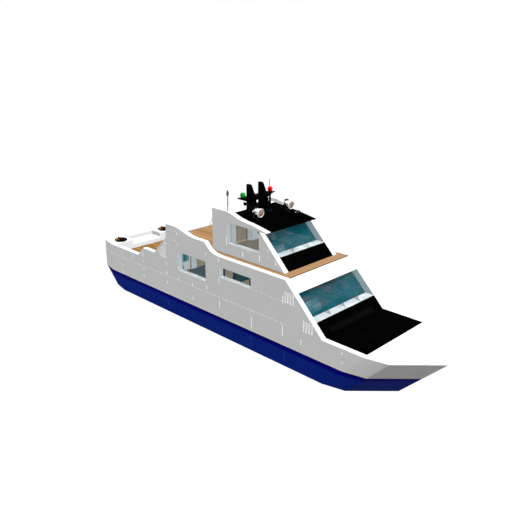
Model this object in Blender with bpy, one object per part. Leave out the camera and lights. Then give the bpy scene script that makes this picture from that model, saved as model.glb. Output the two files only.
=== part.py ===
"""Two-deck motor houseboat on a flat-bottomed raked hull, 22.7 m long and 5 m in the beam.

Frame: +X to the bow, +Y to port, +Z up, the origin on the flat bottom amidships.
The whole boat is drawn on one slope: stem, fronts and stern underbody all rake at 45 degrees.
"""
from math import cos, pi, radians, sin

import bmesh
import bpy
from mathutils import Matrix, Vector

# Hull
HALF_BEAM = 2.5
END_HALF = 2.25
NOSE_HALF = 0.60
STERN_X = -11.365
QUARTER = 1.12
BOW_SIDE_X = 8.575
BOW_SHOULDER_X = 9.675
BOW_NOSE_X = 11.365
BOOT_Z = 1.07
DECK_Z = 2.15
GAP = 0.0003
CLEAR = 0.006

# Main deck
WALL = 0.28
WALL_IN = HALF_BEAM - WALL
BULWARK_Z = 2.76
UPPER_Z = 4.39
TEAK = 0.045
SLAB = 0.20
FRONT = 8.515
SILL = 0.56
LOWER_SILL_Z = 2.705
LOWER_HEAD_Z = 3.81
PANEL_END_X = 8.535
SALOON_X = -4.715
BULKHEAD = 0.12
SIDE_END_X = STERN_X + QUARTER
BENCH_X = -10.065
SOLE = 0.04

# Upper cabin
CABIN_HALF = 1.95
CABIN_IN = 1.66
CABIN_AFT_X = -1.415
UPPER_FRONT = 7.985
UPPER_SILL_Z = 4.95
ROOF_AFT_Z = 6.45
UPPER_HEAD_Z = 6.04
ROOF_TIP_X = 2.425
ROOF_TIP_Z = 6.09
ROOF_BREAK_X = -0.415
ROOF_THICK = 0.12
RAIL_TOP_Z = 6.63
TIP_THICK = 0.05

# Openings: x and z limits of the side windows
AFT_WINDOW = (-3.615, -1.395, 2.77, 3.85)
LOW_WINDOW = (-0.315, 1.905, 3.30, 3.84)
UPPER_WINDOW = (-0.295, 1.925, 4.97, 6.05)
GLASS = 0.02
VENTS = ((4.055, 3.27), (5.195, 2.20))
VENT_SIZE = (0.65, 0.54)
VENT_DEPTH = 0.09
WING_VENT = (-5.33, -4.71, 3.22)
WING_SLOPE = -9.115
SLOT_MARGIN = 0.14
VENT_SLOTS = 4
SLOT_SHARE = 0.55

# Doors and hatch
DOOR_THICK = 0.04
DOOR_SET_IN = 0.01
DOOR_STEP = 0.06
SALOON_DOOR = (-1.65, -0.85, 4.02)
SALOON_DOOR_LIGHT = (-1.51, -0.99, 2.72, 3.86)
UPPER_DOOR = (-0.40, 0.40, 6.15)
UPPER_DOOR_LIGHT = (-0.24, 0.24, 5.45, 6.02)
HATCH = (-9.215, -7.815, 1.00)
HATCH_HEIGHT = SOLE + 0.02
WELL_LIP = 0.05
WELL_FLOOR_Z = 1.25

# Stern bench and the round lamps on it
RECESS_X = -10.915
RECESS_HALF = 1.03
RECESS_Z = 2.46
STERN_LAMP = (-10.47, 1.66)
STERN_LAMP_SHAPE = ((0, 0.39), (0.05, 0.39), (0.10, 0.33), (0.13, 0.20), (0.14, 0.08))

# The wing: x and z of the side wall's top edge behind the cabin, from forward to aft
WING_TOP = (
    (-0.315, 4.39),
    (-0.715, 4.43),
    (-1.015, 4.53),
    (-1.445, 4.92),
    (-2.235, 4.92),
    (-2.695, 4.96),
    (-3.415, 5.15),
    (-3.815, 5.23),
    (-4.635, 5.23),
    (-4.695, 4.42),
    (-5.815, 3.30),
    (-6.895, 3.30),
    (-7.435, 2.76),
)
# The cabin side's top edge, from the visor's tip aft
CABIN_TOP = (
    (2.425, 6.09),
    (1.905, 6.19),
    (1.385, 6.28),
    (0.865, 6.34),
    (0.485, 6.41),
    (0.065, 6.54),
    (-0.315, 6.63),
)
VISOR_UNDER_Z = 6.04
SKIN = 0.03

# Stern gear
SHAFT_Y = 1.15
SHAFT_Z = 0.30
SHAFT_RADIUS = 0.025
SHAFT_END_X = -10.645
PROP_X = -10.975
PROP_RADIUS = 0.24
PROP_HUB = 0.08
BLADES = 3
BLADE_PITCH = 25
BLADE_SIZE = (0.016, 0.15)
HUB_SHAPE = ((-0.04, 0.015), (0, 0.045), (0.06, 0.056), (0.16, 0.056))
RUDDER_X = -11.195
RUDDER_TOP_Z = 0.86
RUDDER_BLADE = (-0.16, 0.07, 0.08, 0.62)
RUDDER_HALF_THICK = 0.018
STOCK_RADIUS = 0.03
ENGINE = (0.18, 0.80, 2.02, 0.14)

# Mast and lights
MAST_HALF = 0.42
FIN_HALF_THICK = 0.07
FIN_TOE_X = 0.405
FIN_KNEE = (0.075, 7.30)
FIN_TOP = (-0.155, 7.74)
PANEL_X = (-0.395, 0.005)
UPPER_PANEL_Z = 6.92
LOWER_PANEL_Z = 6.66
SHELF_Z = 7.16
SHELF_X = (-0.335, 0.010)
SHELF_HALF = 1.20
SHELF_THICK = 0.04
BRACKET_Z = 6.90
BRACKET_X = (-0.24, -0.07)
LOUDHAILER = (-0.38, -0.20, 0.72, 6.66, 6.88)
SIDELIGHT = (-0.155, 0.985, 0.14)
WHIP = (-0.295, 1.10, 7.82)
WHIP_RADIUS = 0.009
POST_RADIUS = 0.03
POST_BASE = ((0, 0.09), (0.10, 0.09), (0.14, 0.05))
ANTENNA = (-0.33, 1.85, 7.36)
ANTENNA_BULB = ((0, 0.018), (0.06, 0.055), (0.16, 0.062), (0.26, 0.045), (0.30, 0.012), (0.38, 0.008))
SEARCH = (1.005, 1.11, 6.66)
DRUM = ((-0.24, 0.09), (-0.20, 0.16), (-0.08, 0.205), (0.20, 0.21), (0.24, 0.22))
YOKE = (0.235, 0.262, 0.07)
PIN_RADIUS = 0.03
STEM_RADIUS = 0.06
HORN = (1.38, 1.17, 1.63, 0.05, 0.13)

# Interior: x, y and z limits of the plain pieces seen through the glass
PARTITION_X = (-0.615, -0.515)
PARTITION_LIGHT = (-1.36, -0.10, 2.45, 3.95)
PASSAGE = (0.0, 0.80, 4.02)
GALLEY = (-4.0, -1.2, 1.55, 3.10)
SETTEE_X = (2.0, 4.0)
SETTEE = ((1.20, 0.0), (1.20, 0.40), (1.26, 0.44), (1.92, 0.42), (2.00, 0.84), (2.19, 0.84), (2.19, 0.0))
LOCKER = ((-1.29, 0.46), (-1.10, 0.62), (-1.10, 1.64), (-1.29, 1.64))
LOCKER_TOP_Z = 5.95
LOWER_HELM = (4.485, -1.10, 0.62)
UPPER_HELM = (2.005, -0.80, 0.45)
CONSOLE = (0.45, 0.32, 0.10, 0.30, 0.24)
WHEEL_RADIUS = 0.19
WHEEL_HALF = 0.015
WHEEL_STAND = 0.18
BOSS_RADIUS = 0.035
BOSS_RISE = 0.05

# Ladder from the cockpit to the upper deck
LADDER_FOOT_X = -5.665
LADDER_Y = (1.05, 1.65)
RAIL_THICK = 0.04
RAIL_DEPTH = 0.14
TREADS = 7

# Colour, roughness and metal share of each finish
MATERIALS = {
    "white_paint": ("F4F5F5", 0.35, 0.0),
    "navy_paint": ("0D2370", 0.40, 0.0),
    "black_paint": ("060606", 0.35, 0.0),
    "teak": ("B8946A", 0.55, 0.0),
    "glass": ("2E6E7C", 0.08, 0.0),
    "steel": ("C4C8CA", 0.25, 1.0),
    "bronze": ("9C7A3C", 0.35, 1.0),
    "panel_blue": ("C5D5DA", 0.45, 0.0),
    "panel_brown": ("7A7466", 0.55, 0.0),
    "seat_red": ("7C2A2E", 0.80, 0.0),
    "lamp_green": ("149A2A", 0.20, 0.0),
    "lamp_red": ("D01414", 0.20, 0.0),
    "engine_grey": ("6E7377", 0.50, 0.3),
}


def clear_scene():
    for thing in list(bpy.data.objects):
        bpy.data.objects.remove(thing, do_unlink=True)


def collection(name, cutters=False):
    made = bpy.data.collections.new(name)
    bpy.context.scene.collection.children.link(made)
    made.hide_render = cutters
    return made


clear_scene()
PARTS = collection("houseboat")
CUTTERS = collection("cutters", True)


def linear(channel):
    return channel / 12.92 if channel <= 0.04045 else ((channel + 0.055) / 1.055) ** 2.4


def material(name):
    made = bpy.data.materials.get(name)
    if made:
        return made
    code, roughness, metallic = MATERIALS[name]
    made = bpy.data.materials.new(name)
    made.use_nodes = True
    shader = made.node_tree.nodes["Principled BSDF"]
    colour = [linear(int(code[at:at + 2], 16) / 255) for at in (0, 2, 4)]
    shader.inputs["Base Color"].default_value = (*colour, 1.0)
    shader.inputs["Roughness"].default_value = roughness
    shader.inputs["Metallic"].default_value = metallic
    return made


def finished(bm, name, finish, origin=(0, 0, 0)):
    """Turn a bmesh drawn in world coordinates into a part whose origin is the given point."""
    bmesh.ops.recalc_face_normals(bm, faces=bm.faces)
    bmesh.ops.translate(bm, vec=-Vector(origin), verts=bm.verts)
    mesh = bpy.data.meshes.new(name)
    bm.to_mesh(mesh)
    bm.free()
    made = bpy.data.objects.new(name, mesh)
    made.location = origin
    if finish:
        mesh.materials.append(material(finish))
        PARTS.objects.link(made)
    else:
        made.display_type = "WIRE"
        made.hide_render = True
        CUTTERS.objects.link(made)
    return made


def box(name, low, high, finish=None, origin=(0, 0, 0)):
    """A block between two corners."""
    bm = bmesh.new()
    bmesh.ops.create_cube(bm, size=1.0)
    low, high = Vector(low), Vector(high)
    size = high - low
    bmesh.ops.scale(bm, vec=size, verts=bm.verts)
    bmesh.ops.translate(bm, vec=(low + high) / 2, verts=bm.verts)
    return finished(bm, name, finish, origin)


def rod(name, start, end, radius, finish=None, origin=(0, 0, 0), end_radius=None, sides=16):
    """A round bar, or a cone, between two points."""
    start, end = Vector(start), Vector(end)
    bm = bmesh.new()
    bmesh.ops.create_cone(
        bm,
        cap_ends=True,
        segments=sides,
        radius1=radius,
        radius2=radius if end_radius is None else end_radius,
        depth=(end - start).length,
    )
    turn = Vector((0, 0, 1)).rotation_difference(end - start).to_matrix().to_4x4()
    bmesh.ops.transform(bm, matrix=Matrix.Translation((start + end) / 2) @ turn, verts=bm.verts)
    return finished(bm, name, finish, origin)


def ball(name, centre, radius, finish=None, sides=16):
    bm = bmesh.new()
    bmesh.ops.create_uvsphere(bm, u_segments=sides, v_segments=sides // 2, radius=radius)
    bmesh.ops.translate(bm, vec=centre, verts=bm.verts)
    return finished(bm, name, finish)


AXES = {
    "X": Matrix(((0, 0, 1, 0), (1, 0, 0, 0), (0, 1, 0, 0), (0, 0, 0, 1))),
    "Y": Matrix(((1, 0, 0, 0), (0, 0, -1, 0), (0, 1, 0, 0), (0, 0, 0, 1))),
    "Z": Matrix.Identity(4),
}


def outline(name, points, low, high, axis, finish=None, origin=(0, 0, 0)):
    """A flat outline given thickness from low to high along an axis.

    Points are (y, z) for axis X, (x, z) for axis Y and (x, y) for axis Z.
    """
    curve = bpy.data.curves.new(name, "CURVE")
    curve.dimensions = "2D"
    curve.fill_mode = "BOTH"
    curve.extrude = (high - low) / 2
    spline = curve.splines.new("POLY")
    spline.points.add(len(points) - 1)
    for spot, (across, up) in zip(spline.points, points):
        spot.co = (across, up, 0, 1)
    spline.use_cyclic_u = True
    flat = bpy.data.objects.new(name, curve)
    PARTS.objects.link(flat)
    bpy.context.view_layer.update()
    seen = flat.evaluated_get(bpy.context.evaluated_depsgraph_get())
    mesh = bpy.data.meshes.new_from_object(seen)
    bpy.data.objects.remove(flat, do_unlink=True)
    bpy.data.curves.remove(curve)
    bm = bmesh.new()
    bm.from_mesh(mesh)
    bpy.data.meshes.remove(mesh)
    bmesh.ops.remove_doubles(bm, verts=bm.verts, dist=0.00001)
    middle = (low + high) / 2
    along = {"X": (middle, 0, 0), "Y": (0, middle, 0), "Z": (0, 0, middle)}[axis]
    bmesh.ops.transform(bm, matrix=Matrix.Translation(along) @ AXES[axis], verts=bm.verts)
    return finished(bm, name, finish, origin)


def loft(name, rings, finish=None, origin=(0, 0, 0)):
    """A closed solid skinned over rings of equal point count."""
    bm = bmesh.new()
    loops = [[bm.verts.new(point) for point in ring] for ring in rings]
    count = len(loops[0])
    for lower, upper in zip(loops, loops[1:]):
        for at in range(count):
            after = (at + 1) % count
            bm.faces.new((lower[at], lower[after], upper[after], upper[at]))
    bm.faces.new(list(reversed(loops[0])))
    bm.faces.new(loops[-1])
    return finished(bm, name, finish, origin)


def turned(name, shape, foot, axis, finish=None, origin=(0, 0, 0), sides=20):
    """A round solid: pairs of distance along the axis and radius, from a foot point."""
    rings = []
    for along, radius in shape:
        ring = []
        for step in range(sides):
            angle = 2 * pi * step / sides
            spot = Vector((radius * cos(angle), radius * sin(angle), along, 1))
            ring.append(Vector(foot) + (AXES[axis] @ spot).to_3d())
        rings.append(ring)
    return loft(name, rings, finish, origin)


def combine(target, tool, operation):
    change = target.modifiers.new(f"{operation.lower()}_{tool.name}", "BOOLEAN")
    change.operation = operation
    change.object = tool
    change.solver = "EXACT"
    return target


def cut(target, *tools):
    for tool in tools:
        combine(target, tool, "DIFFERENCE")
    return target


def add(target, *tools):
    for tool in tools:
        combine(target, tool, "UNION")
    return target


def mirrored_name(name, side):
    return f"{name}_{'port' if side > 0 else 'starboard'}"


def band(side, inner, outer):
    """The y limits of something that lies between two distances from the centreline."""
    return (inner, outer) if side > 0 else (-outer, -inner)


def slope_x(z, front=FRONT):
    """The x of the 45 degree front at a height."""
    return front - z


# Hull

def hull_ring(z, stern_shift):
    """Plan outline of the hull at a height: the bow rakes, and the stern only below the boot top."""
    rake = DECK_Z - z
    half = [
        (STERN_X + stern_shift, END_HALF),
        (STERN_X + QUARTER + stern_shift, HALF_BEAM),
        (BOW_SIDE_X - rake, HALF_BEAM),
        (BOW_SHOULDER_X - rake, END_HALF),
        (BOW_NOSE_X - rake, NOSE_HALF),
    ]
    port = [(x, y, z) for x, y in half]
    starboard = [(x, -y, z) for x, y in reversed(half)]
    return starboard + port


def build_hull():
    loft("hull_underbody", [hull_ring(0, BOOT_Z), hull_ring(BOOT_Z, 0)], "navy_paint")
    topsides = loft(
        "hull_topsides",
        [hull_ring(BOOT_Z + GAP, 0), hull_ring(DECK_Z, 0)],
        "white_paint",
    )
    aft, fore, half = HATCH
    well = box(
        "engine_well",
        (aft + WELL_LIP, WELL_LIP - half, WELL_FLOOR_Z),
        (fore - WELL_LIP, half - WELL_LIP, DECK_Z + 1),
    )
    cut(topsides, well)
    inner, outer, top, inset = ENGINE
    for side in (-1, 1):
        low, high = band(side, inner, outer)
        box(
            mirrored_name("engine", side),
            (aft + inset, low, WELL_FLOOR_Z + GAP),
            (fore - inset, high, top),
            "engine_grey",
        )


def build_stern():
    inner = WALL_IN - GAP
    plan = [
        (SIDE_END_X, -HALF_BEAM),
        (SIDE_END_X, -inner),
        (BENCH_X, -inner),
        (BENCH_X, inner),
        (SIDE_END_X, inner),
        (SIDE_END_X, HALF_BEAM),
        (STERN_X, END_HALF),
        (STERN_X, -END_HALF),
    ]
    bench = outline("stern_bench", plan, DECK_Z + GAP, BULWARK_Z, "Z", "white_paint")
    recess = box(
        "bench_recess",
        (RECESS_X, -RECESS_HALF, RECESS_Z),
        (BENCH_X + 1, RECESS_HALF, RECESS_Z + 1),
    )
    cut(bench, recess)
    x, y = STERN_LAMP
    for side in (-1, 1):
        foot = (x, side * y, BULWARK_Z + GAP)
        turned(mirrored_name("stern_lamp", side), STERN_LAMP_SHAPE, foot, "Z", "black_paint")


# Main deck

def side_profile():
    """The outer wall seen from the side: stern bulwark, wing, upper deck edge and raked front."""
    base = DECK_Z + GAP
    return [
        (SIDE_END_X + GAP, base),
        (slope_x(base), base),
        (slope_x(UPPER_Z), UPPER_Z),
        *WING_TOP,
        (SIDE_END_X + GAP, BULWARK_Z),
    ]


def window_hole(name, limits, low, high):
    x0, x1, z0, z1 = limits
    return box(name, (x0, low - 0.1, z0), (x1, high + 0.1, z1))


def pane(name, limits, low, high):
    x0, x1, z0, z1 = limits
    return box(name, (x0 + GAP, low, z0 + GAP), (x1 - GAP, high, z1 - GAP), "glass")


def vent_slots(name, x0, x1, base, tops, side):
    """A row of upright slots cut to a third of the wall's depth, each with its own top."""
    pitch = (x1 - x0) / len(tops)
    low, high = band(side, HALF_BEAM - VENT_DEPTH, HALF_BEAM + VENT_DEPTH)
    bm = bmesh.new()
    for number, top in enumerate(tops):
        made = bmesh.ops.create_cube(bm, size=1.0)["verts"]
        bmesh.ops.scale(bm, vec=(pitch * SLOT_SHARE, high - low, top - base), verts=made)
        spot = (x0 + pitch * (number + 0.5), (low + high) / 2, (base + top) / 2)
        bmesh.ops.translate(bm, vec=spot, verts=made)
    return finished(bm, name, None)


def build_vents(wall, side):
    """Two square louvres forward, and one under the wing whose slots step up with the slope."""
    width, height = VENT_SIZE
    for number, (x0, z0) in enumerate(VENTS):
        name = mirrored_name(f"vent_{number}", side)
        cut(wall, vent_slots(name, x0, x0 + width, z0, [z0 + height] * VENT_SLOTS, side))
    x0, x1, base = WING_VENT
    pitch = (x1 - x0) / VENT_SLOTS
    tops = [x0 + pitch * number - WING_SLOPE - SLOT_MARGIN for number in range(VENT_SLOTS)]
    cut(wall, vent_slots(mirrored_name("wing_vent", side), x0, x1, base, tops, side))


def build_side_walls():
    for side in (-1, 1):
        low, high = band(side, WALL_IN, HALF_BEAM)
        wall = outline(mirrored_name("side_wall", side), side_profile(), low, high, "Y", "white_paint")
        for label, limits in (("aft_window", AFT_WINDOW), ("low_window", LOW_WINDOW)):
            cut(wall, window_hole(mirrored_name(f"{label}_hole", side), limits, low, high))
            glass_low, glass_high = band(side, WALL_IN + 0.01, WALL_IN + 0.01 + GLASS)
            pane(mirrored_name(label, side), limits, glass_low, glass_high)
        build_vents(wall, side)


def build_cockpit():
    inner = WALL_IN - GAP
    base = DECK_Z + GAP
    aft, fore, half = HATCH
    sole = box("cockpit_sole", (BENCH_X + GAP, -inner, base), (SALOON_X - GAP, inner, DECK_Z + SOLE), "teak")
    opening = box(
        "hatch_opening",
        (aft - CLEAR, -half - CLEAR, base - 1),
        (fore + CLEAR, half + CLEAR, base + 1),
    )
    cut(sole, opening)
    top = DECK_Z + HATCH_HEIGHT
    box(
        "engine_hatch",
        (aft, -half, DECK_Z + CLEAR),
        (fore, half, top),
        "teak",
        origin=(fore, 0, top),
    )
    bulkhead = box(
        "saloon_bulkhead",
        (SALOON_X, -inner, base),
        (SALOON_X + BULKHEAD, inner, UPPER_Z - TEAK - SLAB - GAP),
        "white_paint",
    )
    build_door("saloon_door", bulkhead, SALOON_X, base + DOOR_STEP, SALOON_DOOR, SALOON_DOOR_LIGHT)


def build_door(name, bulkhead, face_x, foot_z, leaf, light):
    """A door leaf with a window opening, hinged on its port edge in a hole through the bulkhead."""
    low, high, top = leaf
    cut(bulkhead, box(f"{name}_hole", (face_x - 1, low, foot_z), (face_x + 1, high, top)))
    after = face_x + DOOR_SET_IN
    hinge = (after, high - CLEAR, foot_z + CLEAR)
    made = box(
        name,
        (after, low + CLEAR, foot_z + CLEAR),
        (after + DOOR_THICK, high - CLEAR, top - CLEAR),
        "panel_blue",
        hinge,
    )
    y0, y1, z0, z1 = light
    cut(made, box(f"{name}_light", (face_x - 1, y0, z0), (face_x + 1, y1, z1)))


def build_upper_deck():
    inner = WALL_IN - GAP
    top = UPPER_Z - TEAK
    under = top - SLAB
    head = LOWER_HEAD_Z
    profile = [
        (SALOON_X - 0.05, under),
        (slope_x(under) - SILL, under),
        (slope_x(head) - SILL, head),
        (slope_x(head), head),
        (slope_x(top), top),
        (SALOON_X - 0.05, top),
    ]
    outline("upper_deck", profile, -inner, inner, "Y", "white_paint")
    teak = box(
        "upper_deck_teak",
        (SALOON_X - 0.05, -inner, top + GAP),
        (slope_x(UPPER_Z), inner, UPPER_Z),
        "teak",
    )
    footprint = box(
        "cabin_footprint",
        (CABIN_AFT_X - GAP, -CABIN_HALF - GAP, top - 1),
        (slope_x(top, UPPER_FRONT) + GAP, CABIN_HALF + GAP, UPPER_Z + 1),
    )
    cut(teak, footprint)


def build_front():
    """The raked lower front: glass under the brow, deep sill, and the black panel down to the foredeck."""
    inner = WALL_IN - GAP
    base = DECK_Z + GAP
    under = FRONT - SKIN * 2 ** 0.5
    sill_inner = slope_x(LOWER_SILL_Z) - SILL
    sill = [
        (sill_inner, base),
        (slope_x(base, under) - GAP, base),
        (slope_x(LOWER_SILL_Z, under) - GAP, LOWER_SILL_Z),
        (sill_inner, LOWER_SILL_Z),
    ]
    outline("lower_sill", sill, -inner, inner, "Y", "panel_blue")
    black = [
        (slope_x(LOWER_SILL_Z), LOWER_SILL_Z),
        (slope_x(DECK_Z + SKIN), DECK_Z + SKIN),
        (PANEL_END_X, DECK_Z + SKIN),
        (PANEL_END_X, base),
        (slope_x(base, under), base),
        (slope_x(LOWER_SILL_Z, under), LOWER_SILL_Z),
    ]
    outline("foredeck_panel", black, -inner, inner, "Y", "black_paint")
    raked_glass("lower_windshield", FRONT - SILL, LOWER_SILL_Z, LOWER_HEAD_Z, inner)


def raked_glass(name, plane, low_z, high_z, half):
    glass = GLASS * 2 ** 0.5
    low_z += GAP
    high_z -= GAP
    profile = [
        (slope_x(low_z, plane), low_z),
        (slope_x(high_z, plane), high_z),
        (slope_x(high_z, plane + glass), high_z),
        (slope_x(low_z, plane + glass), low_z),
    ]
    outline(name, profile, -half, half, "Y", "glass")


# Upper cabin

def rail_profile():
    """The cabin side with its roof rail, which runs forward past the raked front as a visor."""
    base = UPPER_Z - TEAK + GAP
    return [
        (CABIN_AFT_X, base),
        (slope_x(base, UPPER_FRONT), base),
        (slope_x(VISOR_UNDER_Z, UPPER_FRONT), VISOR_UNDER_Z),
        (ROOF_TIP_X, VISOR_UNDER_Z),
        *CABIN_TOP,
        (CABIN_AFT_X, RAIL_TOP_Z),
    ]


ROOF_LINE = [
    (CABIN_AFT_X, ROOF_AFT_Z),
    (ROOF_BREAK_X, ROOF_AFT_Z - 0.02),
    (0.385, 6.34),
    (1.385, 6.23),
    (ROOF_TIP_X, ROOF_TIP_Z - 0.01),
]


def roof_z(x):
    """Height of the roof's top surface."""
    for (x0, z0), (x1, z1) in zip(ROOF_LINE, ROOF_LINE[1:]):
        if x <= x1:
            return z0 + (z1 - z0) * (x - x0) / (x1 - x0)
    return ROOF_LINE[-1][1]


def build_upper_cabin():
    base = UPPER_Z - TEAK + GAP
    inner = CABIN_IN - GAP
    for side in (-1, 1):
        low, high = band(side, CABIN_IN, CABIN_HALF)
        wall = outline(mirrored_name("cabin_wall", side), rail_profile(), low, high, "Y", "white_paint")
        cut(wall, window_hole(mirrored_name("upper_window_hole", side), UPPER_WINDOW, low, high))
        glass_low, glass_high = band(side, CABIN_IN + 0.01, CABIN_IN + 0.01 + GLASS)
        pane(mirrored_name("upper_window", side), UPPER_WINDOW, glass_low, glass_high)
    build_roof(inner)
    top = roof_z(CABIN_AFT_X + BULKHEAD) - ROOF_THICK - GAP
    aft = [(-inner, base), (inner, base), (inner, top), (-inner, top)]
    bulkhead = outline("cabin_bulkhead", aft, CABIN_AFT_X, CABIN_AFT_X + BULKHEAD, "X", "white_paint")
    build_door("cabin_door", bulkhead, CABIN_AFT_X, base + DOOR_STEP, UPPER_DOOR, UPPER_DOOR_LIGHT)
    build_upper_front(base, inner)


def build_roof(inner):
    """A white after strip, then a black panel that tapers to the visor's edge."""
    aft_x, aft_z = ROOF_LINE[0]
    break_x, break_z = ROOF_LINE[1]
    aft = [
        (aft_x, aft_z - ROOF_THICK),
        (break_x - GAP, break_z - ROOF_THICK),
        (break_x - GAP, break_z),
        (aft_x, aft_z),
    ]
    outline("roof_after", aft, -inner, inner, "Y", "white_paint")
    panel = ROOF_LINE[1:] + [(ROOF_TIP_X, ROOF_TIP_Z - TIP_THICK)]
    panel += [(x, z - ROOF_THICK) for x, z in reversed(ROOF_LINE[1:-1])]
    outline("roof_panel", panel, -inner, inner, "Y", "black_paint")


def build_upper_front(base, inner):
    under = UPPER_FRONT - SKIN * 2 ** 0.5
    sill_inner = slope_x(UPPER_SILL_Z, UPPER_FRONT) - SILL
    sill = [
        (sill_inner, base),
        (slope_x(base, under) - GAP, base),
        (slope_x(UPPER_SILL_Z, under) - GAP, UPPER_SILL_Z),
        (sill_inner, UPPER_SILL_Z),
    ]
    outline("upper_sill", sill, -inner, inner, "Y", "panel_blue")
    black = [
        (slope_x(UPPER_SILL_Z, UPPER_FRONT), UPPER_SILL_Z),
        (slope_x(base, UPPER_FRONT), base),
        (slope_x(base, under), base),
        (slope_x(UPPER_SILL_Z, under), UPPER_SILL_Z),
    ]
    outline("upper_front_panel", black, -inner, inner, "Y", "black_paint")
    raked_glass("upper_windshield", UPPER_FRONT - SILL, UPPER_SILL_Z, UPPER_HEAD_Z, inner)


# Mast and lights

def build_mast():
    """Two raked fins joined by two cross panels, and a bracketed shelf for the sidelights."""
    knee_foot = ROOF_LINE[2][0]
    fin = [
        (ROOF_BREAK_X, roof_z(ROOF_BREAK_X) + GAP),
        (knee_foot, roof_z(knee_foot) + GAP),
        (FIN_TOE_X, roof_z(FIN_TOE_X) + GAP),
        FIN_KNEE,
        FIN_TOP,
        (ROOF_BREAK_X, FIN_TOP[1]),
    ]
    inner = MAST_HALF - FIN_HALF_THICK
    outer = MAST_HALF + FIN_HALF_THICK
    mast = outline("mast", fin, inner, outer, "Y", "black_paint")
    panel_aft, panel_fore = PANEL_X
    add(
        mast,
        outline("mast_fin", fin, -outer, -inner, "Y"),
        box(
            "mast_upper_panel",
            (panel_aft, -MAST_HALF, UPPER_PANEL_Z),
            (panel_fore, MAST_HALF, SHELF_Z - SHELF_THICK / 2),
        ),
        box(
            "mast_lower_panel",
            (panel_aft, -MAST_HALF, roof_z(panel_aft) + CLEAR),
            (panel_fore, MAST_HALF, LOWER_PANEL_Z),
        ),
        box(
            "mast_shelf",
            (SHELF_X[0], -SHELF_HALF, SHELF_Z - SHELF_THICK),
            (SHELF_X[1], SHELF_HALF, SHELF_Z),
        ),
    )
    for side in (-1, 1):
        bracket = [
            (side * MAST_HALF, BRACKET_Z),
            (side * outer, BRACKET_Z),
            (side * SHELF_HALF, SHELF_Z - SHELF_THICK),
            (side * SHELF_HALF, SHELF_Z - SHELF_THICK / 2),
            (side * MAST_HALF, SHELF_Z - SHELF_THICK / 2),
        ]
        add(mast, outline(mirrored_name("mast_bracket", side), bracket, *BRACKET_X, "X"))
    aft, fore, reach, low, high = LOUDHAILER
    add(mast, box("loudhailer", (aft, -reach, low), (fore, -MAST_HALF, high)))
    build_shelf_fittings(mast)


def build_shelf_fittings(mast):
    """The sidelight globes, the post and whip on the port side, and the bulb antenna to starboard."""
    x, y, radius = SIDELIGHT
    ball("sidelight_green", (x, -y, SHELF_Z + radius + GAP), radius, "lamp_green")
    ball("sidelight_red", (x, y, SHELF_Z + radius + GAP), radius, "lamp_red")
    foot = (x, y, roof_z(x - POST_BASE[0][1]) + GAP)
    add(
        mast,
        rod("mast_post", foot, (x, y, SHELF_Z - SHELF_THICK / 2), POST_RADIUS, sides=10),
        turned("mast_post_base", POST_BASE, foot, "Z", sides=10),
        rod("mast_whip", (WHIP[0], WHIP[1], SHELF_Z - SHELF_THICK / 2), WHIP, WHIP_RADIUS, sides=8),
    )
    x, y, top = ANTENNA
    antenna = rod("antenna", (x, -y, RAIL_TOP_Z + GAP), (x, -y, top), ANTENNA_BULB[0][1], "steel", sides=12)
    add(antenna, turned("antenna_bulb", ANTENNA_BULB, (x, -y, top - GAP), "Z", sides=12))


def build_searchlights():
    """Each lamp is a drum in a yoke that turns on a short stem."""
    x, y, z = SEARCH
    yoke_in, yoke_out, yoke_half = YOKE
    for side in (-1, 1):
        centre = side * y
        pivot = (x, centre, roof_z(x) + 2 * CLEAR)
        name = mirrored_name("searchlight", side)
        lamp = turned(name, DRUM, (x, centre, z), "X", "steel", pivot, 24)
        seat_z = z - yoke_out
        yoke = [
            (centre - yoke_out, z + yoke_half),
            (centre - yoke_out, seat_z),
            (centre + yoke_out, seat_z),
            (centre + yoke_out, z + yoke_half),
            (centre + yoke_in, z + yoke_half),
            (centre + yoke_in, z - yoke_in),
            (centre - yoke_in, z - yoke_in),
            (centre - yoke_in, z + yoke_half),
        ]
        add(
            lamp,
            outline(f"{name}_yoke", yoke, x - yoke_half / 2, x + yoke_half / 2, "X"),
            rod(f"{name}_pin", (x, centre - yoke_out, z), (x, centre + yoke_out, z), PIN_RADIUS, sides=12),
            rod(f"{name}_stem", pivot, (x, centre, z - yoke_in), STEM_RADIUS, sides=16),
        )


def build_horn():
    """A twin horn on a low bar at the port edge of the roof."""
    x, inner, outer, half, height = HORN
    foot = roof_z(x - half) + GAP
    profile = [
        (x - half, foot),
        (x + half, foot),
        (x + half, foot + height / 2),
        (x - half / 2, foot + height),
        (x - half, foot + height),
    ]
    outline("horn", profile, inner, outer, "Y", "black_paint")


# Running gear

def build_running_gear():
    for side in (-1, 1):
        y = side * SHAFT_Y
        hub = (PROP_X, y, SHAFT_Z)
        build_propeller(mirrored_name("propeller", side), hub, side)
        stock = (RUDDER_X, y, RUDDER_TOP_Z)
        aft, fore, low, high = RUDDER_BLADE
        blade = box(
            mirrored_name("rudder", side),
            (RUDDER_X + aft, y - RUDDER_HALF_THICK, low),
            (RUDDER_X + fore, y + RUDDER_HALF_THICK, high),
            "steel",
            stock,
        )
        inside = (RUDDER_X, y, high - RAIL_DEPTH / 2)
        add(blade, rod(f"{blade.name}_stock", inside, stock, STOCK_RADIUS, sides=12))


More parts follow.
